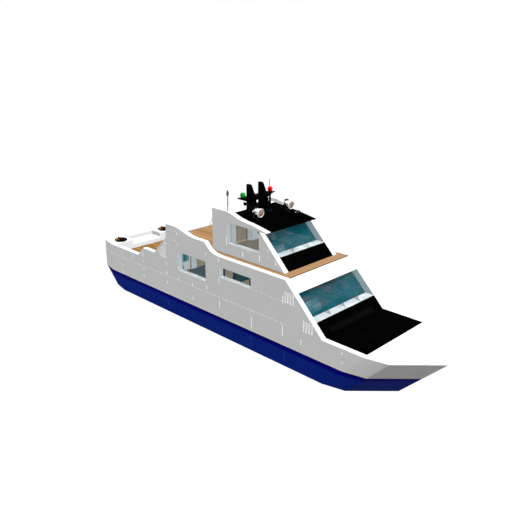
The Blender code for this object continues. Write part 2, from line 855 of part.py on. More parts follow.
def build_propeller(name, hub, side):
    x, y, z = hub
    made = turned(name, HUB_SHAPE, (x - PROP_HUB, y, z), "X", "bronze", hub, 18)
    add(made, rod(f"{name}_shaft", hub, (SHAFT_END_X, y, z), SHAFT_RADIUS, sides=12))
    root = HUB_SHAPE[2][1] / 2
    for blade in range(BLADES):
        turn = blade * 2 * pi / BLADES
        bm = bmesh.new()
        bmesh.ops.create_cube(bm, size=1.0)
        bmesh.ops.scale(bm, vec=(BLADE_SIZE[0], BLADE_SIZE[1], PROP_RADIUS - root), verts=bm.verts)
        pitch = Matrix.Rotation(side * radians(BLADE_PITCH), 4, "Z")
        lift = Matrix.Translation((0, 0, (PROP_RADIUS + root) / 2))
        place = Matrix.Translation(hub) @ Matrix.Rotation(turn, 4, "X") @ lift @ pitch
        bmesh.ops.transform(bm, matrix=place, verts=bm.verts)
        add(made, finished(bm, f"{name}_blade_{blade}", None))


# Interior seen through the glass

def build_interior():
    """The plain pieces of the two cabins that show through the windows."""
    floor = DECK_Z + GAP
    ceiling = UPPER_Z - TEAK - SLAB - GAP
    wall = WALL_IN - GAP
    aft, fore = PARTITION_X
    partition = box("partition", (aft, -wall, floor), (fore, wall, ceiling), "panel_brown")
    y0, y1, z0, z1 = PARTITION_LIGHT
    cut(partition, box("partition_light", (aft - 1, y0, z0), (fore + 1, y1, z1)))
    y0, y1, z1 = PASSAGE
    cut(partition, box("passage", (aft - 1, y0, floor + SOLE), (fore + 1, y1, z1)))
    x0, x1, y0, top = GALLEY
    box("galley", (x0, y0, floor), (x1, wall - GAP, top), "panel_blue")
    seat = [(y, floor + height) for y, height in SETTEE]
    outline("settee", seat, *SETTEE_X, "X", "seat_red")
    build_helm("lower_helm", LOWER_HELM, floor)
    deck = UPPER_Z - TEAK + GAP
    outline("cabin_locker", LOCKER, deck, LOCKER_TOP_Z, "Z", "panel_blue")
    build_helm("upper_helm", UPPER_HELM, deck)


def build_helm(name, place, floor):
    """A pedestal with a raked top and a wheel on its after side."""
    x, y, height = place
    half, depth, aft_lip, rise, aft_rise = CONSOLE
    face = x - aft_lip
    top = floor + height
    profile = [
        (face, floor),
        (x + depth, floor),
        (x + depth, top),
        (x, top + rise),
        (face, top + aft_rise),
    ]
    outline(f"{name}_console", profile, y - half, y + half, "Y", "panel_blue")
    centre = Vector((x - WHEEL_STAND, y, top + BOSS_RISE))
    rim = [(-WHEEL_HALF, WHEEL_RADIUS), (WHEEL_HALF, WHEEL_RADIUS)]
    wheel = turned(f"{name}_wheel", rim, centre, "X", "black_paint", centre, 24)
    shaft_end = (face - CLEAR, y, centre.z)
    add(wheel, rod(f"{name}_boss", centre, shaft_end, BOSS_RADIUS, sides=12))


def build_ladder():
    """A straight companion ladder from the cockpit to the after edge of the upper deck."""
    foot = Vector((LADDER_FOOT_X, 0, DECK_Z + SOLE + GAP))
    head = Vector((SALOON_X - 0.06, 0, UPPER_Z))
    low, high = LADDER_Y
    rails = [
        (foot.x, foot.z),
        (foot.x + RAIL_DEPTH, foot.z),
        (head.x, head.z - 2 * RAIL_DEPTH),
        (head.x, head.z),
    ]
    made = outline("ladder", rails, low, low + RAIL_THICK, "Y", "steel")
    add(made, outline("ladder_rail", rails, high - RAIL_THICK, high, "Y"))
    for step in range(TREADS):
        spot = foot.lerp(head, (step + 1) / (TREADS + 1))
        tread = box(
            f"ladder_tread_{step}",
            (spot.x + CLEAR, low + RAIL_THICK / 2, spot.z - RAIL_THICK),
            (spot.x + RAIL_DEPTH - CLEAR, high - RAIL_THICK / 2, spot.z),
        )
        add(made, tread)


build_hull()
build_stern()
build_side_walls()
build_cockpit()
build_upper_deck()
build_front()
build_upper_cabin()
build_mast()
build_searchlights()
build_horn()
build_running_gear()
build_interior()
build_ladder()
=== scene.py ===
"""Two-deck motor houseboat: the looks of every piece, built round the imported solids.

Frame: +X to the bow, +Y to port, +Z up, metres, the origin on the flat bottom amidships.
"""

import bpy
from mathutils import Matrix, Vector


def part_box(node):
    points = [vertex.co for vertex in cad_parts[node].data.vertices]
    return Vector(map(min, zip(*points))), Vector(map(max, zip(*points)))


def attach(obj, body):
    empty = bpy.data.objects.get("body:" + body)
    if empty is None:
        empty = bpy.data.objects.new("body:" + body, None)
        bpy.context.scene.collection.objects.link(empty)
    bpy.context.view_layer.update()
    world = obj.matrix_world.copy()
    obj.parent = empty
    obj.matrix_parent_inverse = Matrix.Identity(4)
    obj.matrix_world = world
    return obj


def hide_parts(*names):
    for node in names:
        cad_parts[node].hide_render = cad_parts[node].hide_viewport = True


bl_info = {
    "name": "Motor Houseboat",
    "version": (1, 0, 0),
    "blender": (4, 5, 0),
    "location": "3D View > Sidebar > Houseboat",
    "description": "Builds the finished pieces of a two-deck motor houseboat on its solid model",
    "category": "Object",
}

from functools import partial
from math import cos, pi, radians, sin

import bmesh
import bpy
from mathutils import Matrix, Vector

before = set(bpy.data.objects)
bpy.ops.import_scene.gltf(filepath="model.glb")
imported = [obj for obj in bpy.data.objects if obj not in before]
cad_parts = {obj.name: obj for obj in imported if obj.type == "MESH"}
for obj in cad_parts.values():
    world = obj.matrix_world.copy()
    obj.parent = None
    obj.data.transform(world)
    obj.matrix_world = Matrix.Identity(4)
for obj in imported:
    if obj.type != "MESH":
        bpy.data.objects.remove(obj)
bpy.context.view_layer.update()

# Main levels and planes of the solid model
WALL_IN, HALF_BEAM = (corner.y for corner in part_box("side_wall_port"))
CABIN_IN, CABIN_HALF = (corner.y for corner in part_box("cabin_wall_port"))
BOOT_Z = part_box("hull_underbody")[1].z
DECK_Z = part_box("hull_topsides")[1].z
UPPER_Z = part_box("upper_deck_teak")[1].z
STERN_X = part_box("hull_topsides")[0].x
# Both fronts lean aft at 45 degrees, so x + z is the same all over the outer plane of each
FRONT = 8.515
UPPER_FRONT = 7.985
SIDES = (-1, 1)
# Edges that turn by more than this are drawn sharp
SHARP = radians(35)
# Upright creases of the hull and walls that are flatter than SHARP but still read as a line
FACET = radians(9)

AXES = {
    "X": Matrix(((0, 0, 1, 0), (1, 0, 0, 0), (0, 1, 0, 0), (0, 0, 0, 1))),
    "Y": Matrix(((1, 0, 0, 0), (0, 0, -1, 0), (0, 1, 0, 0), (0, 0, 0, 1))),
    "Z": Matrix.Identity(4),
}


def side_name(name, side):
    return f"{name}_{'port' if side > 0 else 'starboard'}"


def band(side, inner, outer):
    """The y limits of something that lies between two distances from the centreline."""
    return (inner, outer) if side > 0 else (-outer, -inner)


# Colours and finishes

def linear_colour(code):
    """An sRGB hex value as the linear colour that shaders take."""
    channels = [int(code[at:at + 2], 16) / 255 for at in (0, 2, 4)]
    return [c / 12.92 if c <= 0.04045 else ((c + 0.055) / 1.055) ** 2.4 for c in channels]


def opaque(colour):
    return (*colour, 1.0)


def setting(path):
    """A size or colour that the user can change, by its group and name, such as paint.navy."""
    group, name = path.split(".")
    return getattr(getattr(bpy.context.scene, f"houseboat_{group}"), name)


def shades(colour, darker, lighter):
    """Two tones of one colour, which is a hex value or a setting."""
    colour = Vector(setting(colour) if "." in colour else linear_colour(colour))
    return colour * darker, colour * lighter


def add_node(tree, kind, inputs=None, **settings):
    """A node with its settings, and its inputs set to values or linked to other sockets."""
    node = tree.nodes.new(kind)
    for name, value in settings.items():
        setattr(node, name, value)
    for key, value in (inputs or {}).items():
        if isinstance(value, bpy.types.NodeSocket):
            tree.links.new(value, node.inputs[key])
        else:
            node.inputs[key].default_value = value
    return node


def shaded(name, roughness, gloss=0.5, **sockets):
    """A new material whose Principled shader takes these values; returns it, its tree and shader."""
    made = bpy.data.materials.new(name)
    made.use_nodes = True
    shader = made.node_tree.nodes["Principled BSDF"]
    for label, value in {"Roughness": roughness, "Specular_IOR_Level": gloss, **sockets}.items():
        shader.inputs[label.replace("_", " ")].default_value = value
    return made, made.node_tree, shader


# Sockets of a Mix node that mixes colours
SHARE, FIRST, SECOND, RESULT = 0, 6, 7, 2


def cells_per_metre(millimetres):
    """Texture scale at which one cell of a pattern is this wide."""
    return 1000.0 / millimetres


def toned(ramp, stops):
    """The colour of a ramp whose stops have these positions and colours."""
    for stop, (at, colour) in zip(ramp.color_ramp.elements, stops):
        stop.position = at
        stop.color = opaque(colour)
    return ramp.outputs["Color"]


def mottled(tree, tones, millimetres, stretch=(1, 1, 1), detail=3.0, low=0.35, high=0.65):
    """A colour that wanders between two tones in patches of a real size."""
    place = add_node(tree, "ShaderNodeTexCoord").outputs["Object"]
    place = add_node(tree, "ShaderNodeMapping", {"Vector": place, "Scale": stretch}).outputs["Vector"]
    sizes = {"Vector": place, "Scale": cells_per_metre(millimetres), "Detail": detail}
    patches = add_node(tree, "ShaderNodeTexNoise", sizes).outputs["Fac"]
    ramp = add_node(tree, "ShaderNodeValToRGB", {"Fac": patches})
    return toned(ramp, zip((low, high), tones)), patches, place


def coated(tree, shader, colour, height=None, depth=0.0, strength=0.0):
    """Gives the shader its colour and, from a height, a relief of this real depth in metres."""
    tree.links.new(colour, shader.inputs["Base Color"])
    if height is not None:
        bump = add_node(tree, "ShaderNodeBump", {"Height": height, "Distance": depth, "Strength": strength})
        tree.links.new(bump.outputs["Normal"], shader.inputs["Normal"])


def fade_by_height(tree, low_z, high_z, way="SMOOTHSTEP"):
    """0 below one height and 1 above the other, from the object's own z."""
    place = add_node(tree, "ShaderNodeTexCoord").outputs["Object"]
    z = add_node(tree, "ShaderNodeSeparateXYZ", {"Vector": place}).outputs["Z"]
    limits = {"Value": z, "From Min": low_z, "From Max": high_z}
    return add_node(tree, "ShaderNodeMapRange", limits, interpolation_type=way).outputs["Result"]


def plain(name, tones, millimetres, relief, roughness, gloss=0.5, stretch=(1, 1, 1), detail=3.0, **sockets):
    """A finish of one colour, mottled between two tones.

    The tones are two hex values, or a colour and its share in each. The patches are this many
    millimetres wide, and the relief that follows them has a depth in metres and a strength.
    """
    made, tree, shader = shaded(name, roughness, gloss, **sockets)
    tones = shades(*tones) if len(tones) == 3 else [linear_colour(tone) for tone in tones]
    colour, patches, place = mottled(tree, tones, millimetres, stretch, detail)
    coated(tree, shader, colour, *((patches, *relief) if relief else ()))
    return made


def moulded_gelcoat():
    """White gelcoat over glass fibre: soft gloss, slight fairing waves, and a painted cream glow low down
    that fades up from the boot line.
    """
    made, tree, shader = shaded("moulded_gelcoat", 0.34, 0.03)
    colour, patches, place = mottled(tree, shades("paint.white", 0.975, 1.0), 900, detail=4.0)
    # Painted glow: cream at the boot line, fading into the white 0.2 m above it
    painted_glow_share = fade_by_height(tree, BOOT_Z - 0.02, BOOT_Z + 0.20, "LINEAR")
    tones = {SHARE: painted_glow_share, FIRST: opaque(setting("paint.tide_mark")), SECOND: colour}
    colour = add_node(tree, "ShaderNodeMix", tones, data_type="RGBA").outputs[RESULT]
    peel = add_node(tree, "ShaderNodeTexNoise", {"Vector": place, "Scale": cells_per_metre(45)})
    coated(tree, shader, colour, peel.outputs["Fac"], 0.0008, 0.25)
    return made


def rolled_antifouling():
    """Navy antifouling rolled on by hand: matt, a faint stipple, and painted shade that darkens it where it
    meets the boot line.
    """
    made, tree, shader = shaded("rolled_antifouling", 0.55, 0.01)
    colour, patches, place = mottled(tree, shades("paint.navy", 0.93, 1.05), 600)
    # Painted shade: the top of the navy turns darker towards the boot line
    share = fade_by_height(tree, BOOT_Z - 0.30, BOOT_Z - 0.16)
    tones = {SHARE: share, FIRST: colour, SECOND: opaque(setting("paint.boot_band"))}
    colour = add_node(tree, "ShaderNodeMix", tones, data_type="RGBA").outputs[RESULT]
    sizes = {"Vector": place, "Scale": cells_per_metre(30), "Detail": 3.0}
    coated(tree, shader, colour, add_node(tree, "ShaderNodeTexNoise", sizes).outputs["Fac"], 0.001, 0.3)
    return made


def black_nonskid():
    """Black non-skid deck paint with sharp sand in it: very dark, no shine, fine grit."""
    made, tree, shader = shaded("black_nonskid_paint", 0.7, 0.0)
    colour, patches, place = mottled(tree, shades("paint.black", 0.6, 1.4), 350)
    grit = add_node(tree, "ShaderNodeTexNoise", {"Vector": place, "Scale": cells_per_metre(12)})
    coated(tree, shader, colour, grit.outputs["Fac"], 0.001, 0.35)
    return made


def teak(name, kind, along):
    """Oiled teak: long brown streaks down each plank, and each plank a little different from the next."""
    made, tree, shader = shaded(name, 0.55, 0.12)
    place = add_node(tree, "ShaderNodeTexCoord").outputs["Object"]
    across = add_node(tree, "ShaderNodeSeparateXYZ", {"Vector": place}).outputs["Y" if along == "X" else "X"]
    pitches = {0: across, 1: setting("deck.plank_pitch")}
    plank = add_node(tree, "ShaderNodeMath", pitches, operation="DIVIDE").outputs[0]
    plank = add_node(tree, "ShaderNodeMath", {0: plank}, operation="FLOOR").outputs[0]
    own = add_node(tree, "ShaderNodeTexWhiteNoise", {"W": plank}, noise_dimensions="1D").outputs["Value"]
    stretch = (0.05, 1.0, 1.0) if along == "X" else (1.0, 0.05, 1.0)
    place = add_node(tree, "ShaderNodeMapping", {"Vector": place, "Scale": stretch}).outputs["Vector"]
    # Real grain lines are 1 to 2 mm apart, so they are drawn 40 mm apart to show at this size.
    sizes = {"Vector": place, "Scale": cells_per_metre(40), "Detail": 5.0, "Roughness": 0.6}
    grain = add_node(tree, "ShaderNodeTexNoise", sizes).outputs["Fac"]
    own = add_node(tree, "ShaderNodeMath", {0: own, 1: 0.5}, operation="MULTIPLY").outputs[0]
    share = add_node(tree, "ShaderNodeMath", {0: grain, 1: 0.62, 2: own}, operation="MULTIPLY_ADD").outputs[0]
    tones = ((0.22, setting(f"deck.{kind}_dark")), (0.82, setting(f"deck.{kind}_light")))
    colour = toned(add_node(tree, "ShaderNodeValToRGB", {"Fac": share}), tones)
    coated(tree, shader, colour, grain, 0.0006, 0.4)
    return made


def side_glass():
    """Clear float glass, only a breath of green in its thickness."""
    tint = opaque(setting("glass.side_tint"))
    return shaded("clear_float_glass", 0.04, 0.12, Base_Color=tint, Alpha=setting("glass.side_cover"))[0]


def windshield_glass():
    """Tinted safety glass: teal in the body, smooth face, half see-through."""
    made, tree, shader = shaded("tinted_safety_glass", 0.05, 0.10)
    coated(tree, shader, mottled(tree, shades("glass.front_tint", 0.9, 1.08), 1400)[0])
    # Squares of the laminated pane, 0.74 m by 0.34 m, let through more or less of what lies behind.
    squares = (0.0, 1.0 / 0.74, 1.0 / 0.34)
    place = add_node(tree, "ShaderNodeTexCoord").outputs["Object"]
    place = add_node(tree, "ShaderNodeMapping", {"Vector": place, "Scale": squares}).outputs["Vector"]
    checks = add_node(tree, "ShaderNodeTexChecker", {"Vector": place, "Scale": 1.0}).outputs["Fac"]
    cover = setting("glass.front_cover")
    limits = {"Value": checks, "To Min": cover - 0.05, "To Max": cover + 0.05}
    cover = add_node(tree, "ShaderNodeMapRange", limits).outputs["Result"]
    tree.links.new(cover, shader.inputs["Alpha"])
    return made


def cheek_glass():
    """Thin pale glass at the ends of the windshield recess, with a painted glow that stands in for the lit
    wall behind it.
    """
    return shaded(
        "thin_tinted_glass",
        0.05,
        0.10,
        Base_Color=opaque(setting("glass.side_tint")),
        # Painted light: this emission brightens the pane, which is no lamp
        Emission_Color=opaque(linear_colour("C8E4EA")),
        Emission_Strength=0.10,
        Alpha=0.60,
    )[0]


def teal_glass(name, daylight):
    """Deep-tinted glass, hardly see-through, with a painted teal glow of the given strength, though it is no
    lamp.
    """
    glow = {"Emission_Color": opaque(linear_colour("307379")), "Emission_Strength": daylight}
    tones = ("glass.front_tint", 0.7, 1.0)
    return plain(name, tones, 500, None, 0.06, 0.15, **glow, Alpha=setting("glass.deep_cover"))


def white_sill():
    """High-gloss white sill board, cooler than the lining, with painted shade: greyer to starboard and in
    faint clouds.
    """
    made, tree, shader = shaded("gloss_sill_board", 0.25, 0.2)
    tones = linear_colour("B8C2C6"), linear_colour("D8E0E4")
    colour, patches, place = mottled(tree, tones, 420, detail=1.0)
    y = add_node(tree, "ShaderNodeSeparateXYZ", {"Vector": place}).outputs["Y"]
    # Painted shade: grey is mixed into the sill towards starboard
    limits = {"Value": y, "From Min": -0.9, "From Max": 0.3, "To Min": 0.62}
    share = add_node(tree, "ShaderNodeMapRange", limits, interpolation_type="SMOOTHSTEP").outputs["Result"]
    tones = {SHARE: share, FIRST: opaque(linear_colour("A4ACB0")), SECOND: colour}
    colour = add_node(tree, "ShaderNodeMix", tones, data_type="RGBA").outputs[RESULT]
    coated(tree, shader, colour, patches, 0.0004, 0.2)
    return made


def satin_lining():
    """Satin painted lining board in a pale blue-grey: even, with a light roller texture."""
    made, tree, shader = shaded("satin_lining_board", 0.5, 0.2)
    colour, patches, place = mottled(tree, shades("cabin.lining", 0.95, 1.0), 500)
    roller = add_node(tree, "ShaderNodeTexNoise", {"Vector": place, "Scale": cells_per_metre(20)})
    coated(tree, shader, colour, roller.outputs["Fac"], 0.0005, 0.3)
    return made


def veneered(name, share, grain_way):
    """Grey-brown oak veneer with a straight open grain."""
    tones = ("cabin.veneer", 0.72 * share, 1.12 * share)
    return plain(name, tones, 30, (0.0006, 0.4), 0.6, 0.15, grain_way, 5.0)


def woven_upholstery():
    """Red wool-mix upholstery in a plain weave; 2 mm threads are drawn 12 mm wide so that they show."""
    made, tree, shader = shaded("woven_wool_upholstery", 0.85, 0.05, Sheen_Weight=0.15)
    # A woven squiggle about 90 mm across, red on dark grey
    tones = setting("cabin.upholstery_ground"), setting("cabin.upholstery")
    colour, patches, place = mottled(tree, tones, 90, detail=1.0, low=0.47, high=0.55)
    threads = (("Color1", 1.0), ("Color2", 0.75), ("Mortar", 0.3))
    sizes = {"Vector": place, "Scale": cells_per_metre(48)}
    sizes.update((label, (tone, tone, tone, 1.0)) for label, tone in threads)
    coated(tree, shader, colour, add_node(tree, "ShaderNodeTexBrick", sizes).outputs["Color"], 0.002, 0.6)
    return made


def coloured_lens(name, tone, glow=0.15):
    """Moulded acrylic lens: deep even colour, glossy, a little light of its own."""
    made, tree, shader = shaded(name, 0.12, 0.12, Emission_Strength=glow)
    colour = mottled(tree, shades(tone, 0.8, 1.0), 50)[0]
    coated(tree, shader, colour)
    tree.links.new(colour, shader.inputs["Emission Color"])
    return made


def amber_reflector():
    """Faceted searchlight glass over a gold-tinted reflector: warm tan, with painted glints that light the
    middle of each cell.
    """
    made, tree, shader = shaded("faceted_searchlight_glass", 0.15, 0.6)
    place = add_node(tree, "ShaderNodeTexCoord").outputs["Object"]
    sizes = {"Vector": place, "Scale": cells_per_metre(90)}
    cells = add_node(tree, "ShaderNodeTexVoronoi", sizes, feature="F1").outputs["Distance"]
    # Painted glints: light in the middle of each facet, dark at its rim
    tones = ((0.1, linear_colour("D8B89C")), (0.6, linear_colour("7A5C48")))
    colour = toned(add_node(tree, "ShaderNodeValToRGB", {"Fac": cells}), tones)
    coated(tree, shader, colour, cells, 0.004, 0.5)
    return made


def metal(name, tone, roughness, millimetres, stretch=(1, 1, 1)):
    """A bare metal with the fine variation in shine that its working leaves."""
    return plain(name, (tone, 0.9, 1.0), millimetres, (0.0003, 0.2), roughness, stretch=stretch, Metallic=1.0)


# How a pattern is drawn out along a brushed plate, and up an upright section
ALONG_Y = (1.0, 0.1, 1.0)
ALONG_Z = (1.0, 1.0, 0.2)

RECIPES = {
    "gelcoat": moulded_gelcoat,
    "antifouling": rolled_antifouling,
    # The same antifouling made lighter over a plate seam: a painted highlight along the joint
    "navy seam highlight": partial(
        plain, "brushed_antifouling_seam", ("paint.navy", 1.25, 1.5), 120, (0.0006, 0.3), 0.5, 0.1
    ),
    "nonskid": black_nonskid,
    # Sprayed black enamel on aluminium plate: dark with a tight sheen and slight orange peel
    "enamel": partial(plain, "black_enamel", ("paint.black", 0.7, 1.5), 200, (0.0005, 0.2), 0.35, 0.01),
    # Moulded black plastic: even, satin, with a spark-eroded grain
    "plastic": partial(plain, "moulded_black_plastic", ("0C0C0D", "171718"), 40, (0.0004, 0.3), 0.42, 0.10),
    # Black rubber section: matt and slightly dusty
    "rubber": partial(plain, "extruded_rubber", ("141414", "24252A"), 60, (0.0005, 0.2), 0.75, 0.2),
    "upper teak": partial(teak, "oiled_teak_upper_deck", "teak", "X"),
    "strip teak": partial(teak, "oiled_teak_cross_laid", "cross", "Y"),
    # Darker and more saturated than the upper deck's teak, as painted shade of the cockpit well
    "cockpit teak": partial(teak, "oiled_teak_cockpit", "cockpit", "X"),
    # Polyurethane caulk between planks: dark brown-black and rubbery
    "caulk": partial(plain, "deck_caulk", ("5A432C", "6E5437"), 80, (0.0004, 0.3), 0.7, 0.1),
    "side glass": side_glass,
    "front glass": windshield_glass,
    "cheek glass": cheek_glass,
    # Glass of the doors and port windows: teal, hardly see-through, with a full painted glow
    "deep glass": partial(teal_glass, "deep_tinted_glass", 1.0),
    # The same glass in the saloon's partition, with almost none of the painted glow: dark teal
    "indoor glass": partial(teal_glass, "indoor_tinted_glass", 0.06),
    # Dark navy anodised aluminium of the sliding window: satin, faintly streaked along its length
    "navy frame": partial(
        plain, "navy_anodised_aluminium", ("04043C", "0A0A52"), 60, (0.0003, 0.2), 0.4, 0.2, ALONG_Z
    ),
    "lining": satin_lining,
    # The lining board's colour darkened to blue-grey, as painted shadows laid on the sills: satin and even
    "blue board": partial(
        plain, "blue_grey_board", ("cabin.lining", 0.30, 0.38), 220, (0.0005, 0.3), 0.5, 0.15
    ),
    "sill": white_sill,
    # Its grain stands upright
    "veneer": partial(veneered, "open_grain_veneer", 1.0, (1.0, 1.0, 0.06)),
    # The same oak stained darker for the cabin sole, its grain along the boat
    "floor veneer": partial(veneered, "stained_floor_veneer", 0.43, (0.06, 1.0, 1.0)),
    # Dark blue-grey loop carpet: rough, with a pile that breaks up the light
    "carpet": partial(
        plain,
        "loop_pile_carpet",
        ("cabin.carpet", 0.7, 1.35),
        25,
        (0.004, 0.7),
        0.95,
        0.0,
        detail=5.0,
        Sheen_Weight=0.1,
    ),
    "upholstery": woven_upholstery,
    # Polished 316 stainless bar: bright and even
    "polished": partial(metal, "polished_stainless", "E6E8EA", 0.22, 90),
    # Brushed stainless plate: fine lines along its length soften the shine
    "brushed": partial(metal, "brushed_stainless", "C4C8CA", 0.38, 14, ALONG_Y),
    # Bright chrome plate over brass
    "chrome": partial(metal, "chrome_plate", "F2F3F4", 0.08, 120),
    # Cast and ground manganese bronze: golden brown with darker hollows
    "bronze": partial(metal, "cast_manganese_bronze", "A8803C", 0.34, 60),
    "green lens": partial(coloured_lens, "green_acrylic_lens", "009A0A", 0.10),
    "red lens": partial(coloured_lens, "red_acrylic_lens", "EE0000"),
    "orange lens": partial(coloured_lens, "orange_acrylic_lens", "E07818"),
    "yellow lens": partial(coloured_lens, "yellow_acrylic_lens", "E8C030"),
    # On the antenna's tip, which is no lamp, this lens's glow is a painted highlight
    "clear lens": partial(coloured_lens, "clear_acrylic_lens", "F4F4F0", 0.1),
    "reflector": amber_reflector,
    # Grey machine enamel on castings: satin, with the cast texture showing through
    "engine": partial(plain, "engine_enamel", ("5E6468", "767C80"), 90, (0.0015, 0.5), 0.48, 0.4),
    # Grey gelcoated fibreglass tube: satin, faintly mottled along its length
    "grey fibreglass": partial(
        plain, "grey_fibreglass_tube", ("4A4C4E", "626466"), 30, (0.0003, 0.3), 0.45, 0.15, ALONG_Z
    ),
    # Dark anti-glare display glass, switched off
    "screen": partial(plain, "anti_glare_display", ("0A1014", "141E26"), 200, None, 0.2),
}
FINISHES = {}


def finish(name):
    """A finish by name, made the first time that it is asked for."""
    if name not in FINISHES:
        FINISHES[name] = RECIPES[name]()
    return FINISHES[name]


# Mesh making

def placed(name, mesh, body, replaces):
    made = bpy.data.objects.new(name, mesh)
    bpy.context.scene.collection.objects.link(made)
    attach(made, body)
    if replaces:
        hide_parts(*replaces)
    # The pieces throw no light on each other, so white stays white beside teak, as in the even studio light.
    made.visible_diffuse = False
    return made


def changed(name, mesh, kind, settings):
    """The mesh after one modifier, as a plain mesh; settings are its properties or a tree's inputs."""
    holder = bpy.data.objects.new(name, mesh)
    bpy.context.scene.collection.objects.link(holder)
    change = holder.modifiers.new(kind.title(), kind)
    for label, value in settings.items():
        if kind == "NODES" and label != "node_group":
            change[label] = value
        else:
            setattr(change, label, value)
    bpy.context.view_layer.update()
    seen = holder.evaluated_get(bpy.context.evaluated_depsgraph_get())
    made = bpy.data.meshes.new_from_object(seen)
    bpy.data.objects.remove(holder, do_unlink=True)
    bpy.data.meshes.remove(mesh)
    made.name = name
    return made


def rounded(bm, edges, width, segments):
    bmesh.ops.bevel(
        bm, geom=edges, offset=width, segments=segments, profile=0.5, affect="EDGES", clamp_overlap=True
    )


def hard_edges(edges, angle=SHARP):
    return [e for e in edges if e.is_valid and len(e.link_faces) == 2 and e.calc_face_angle(0) > angle]


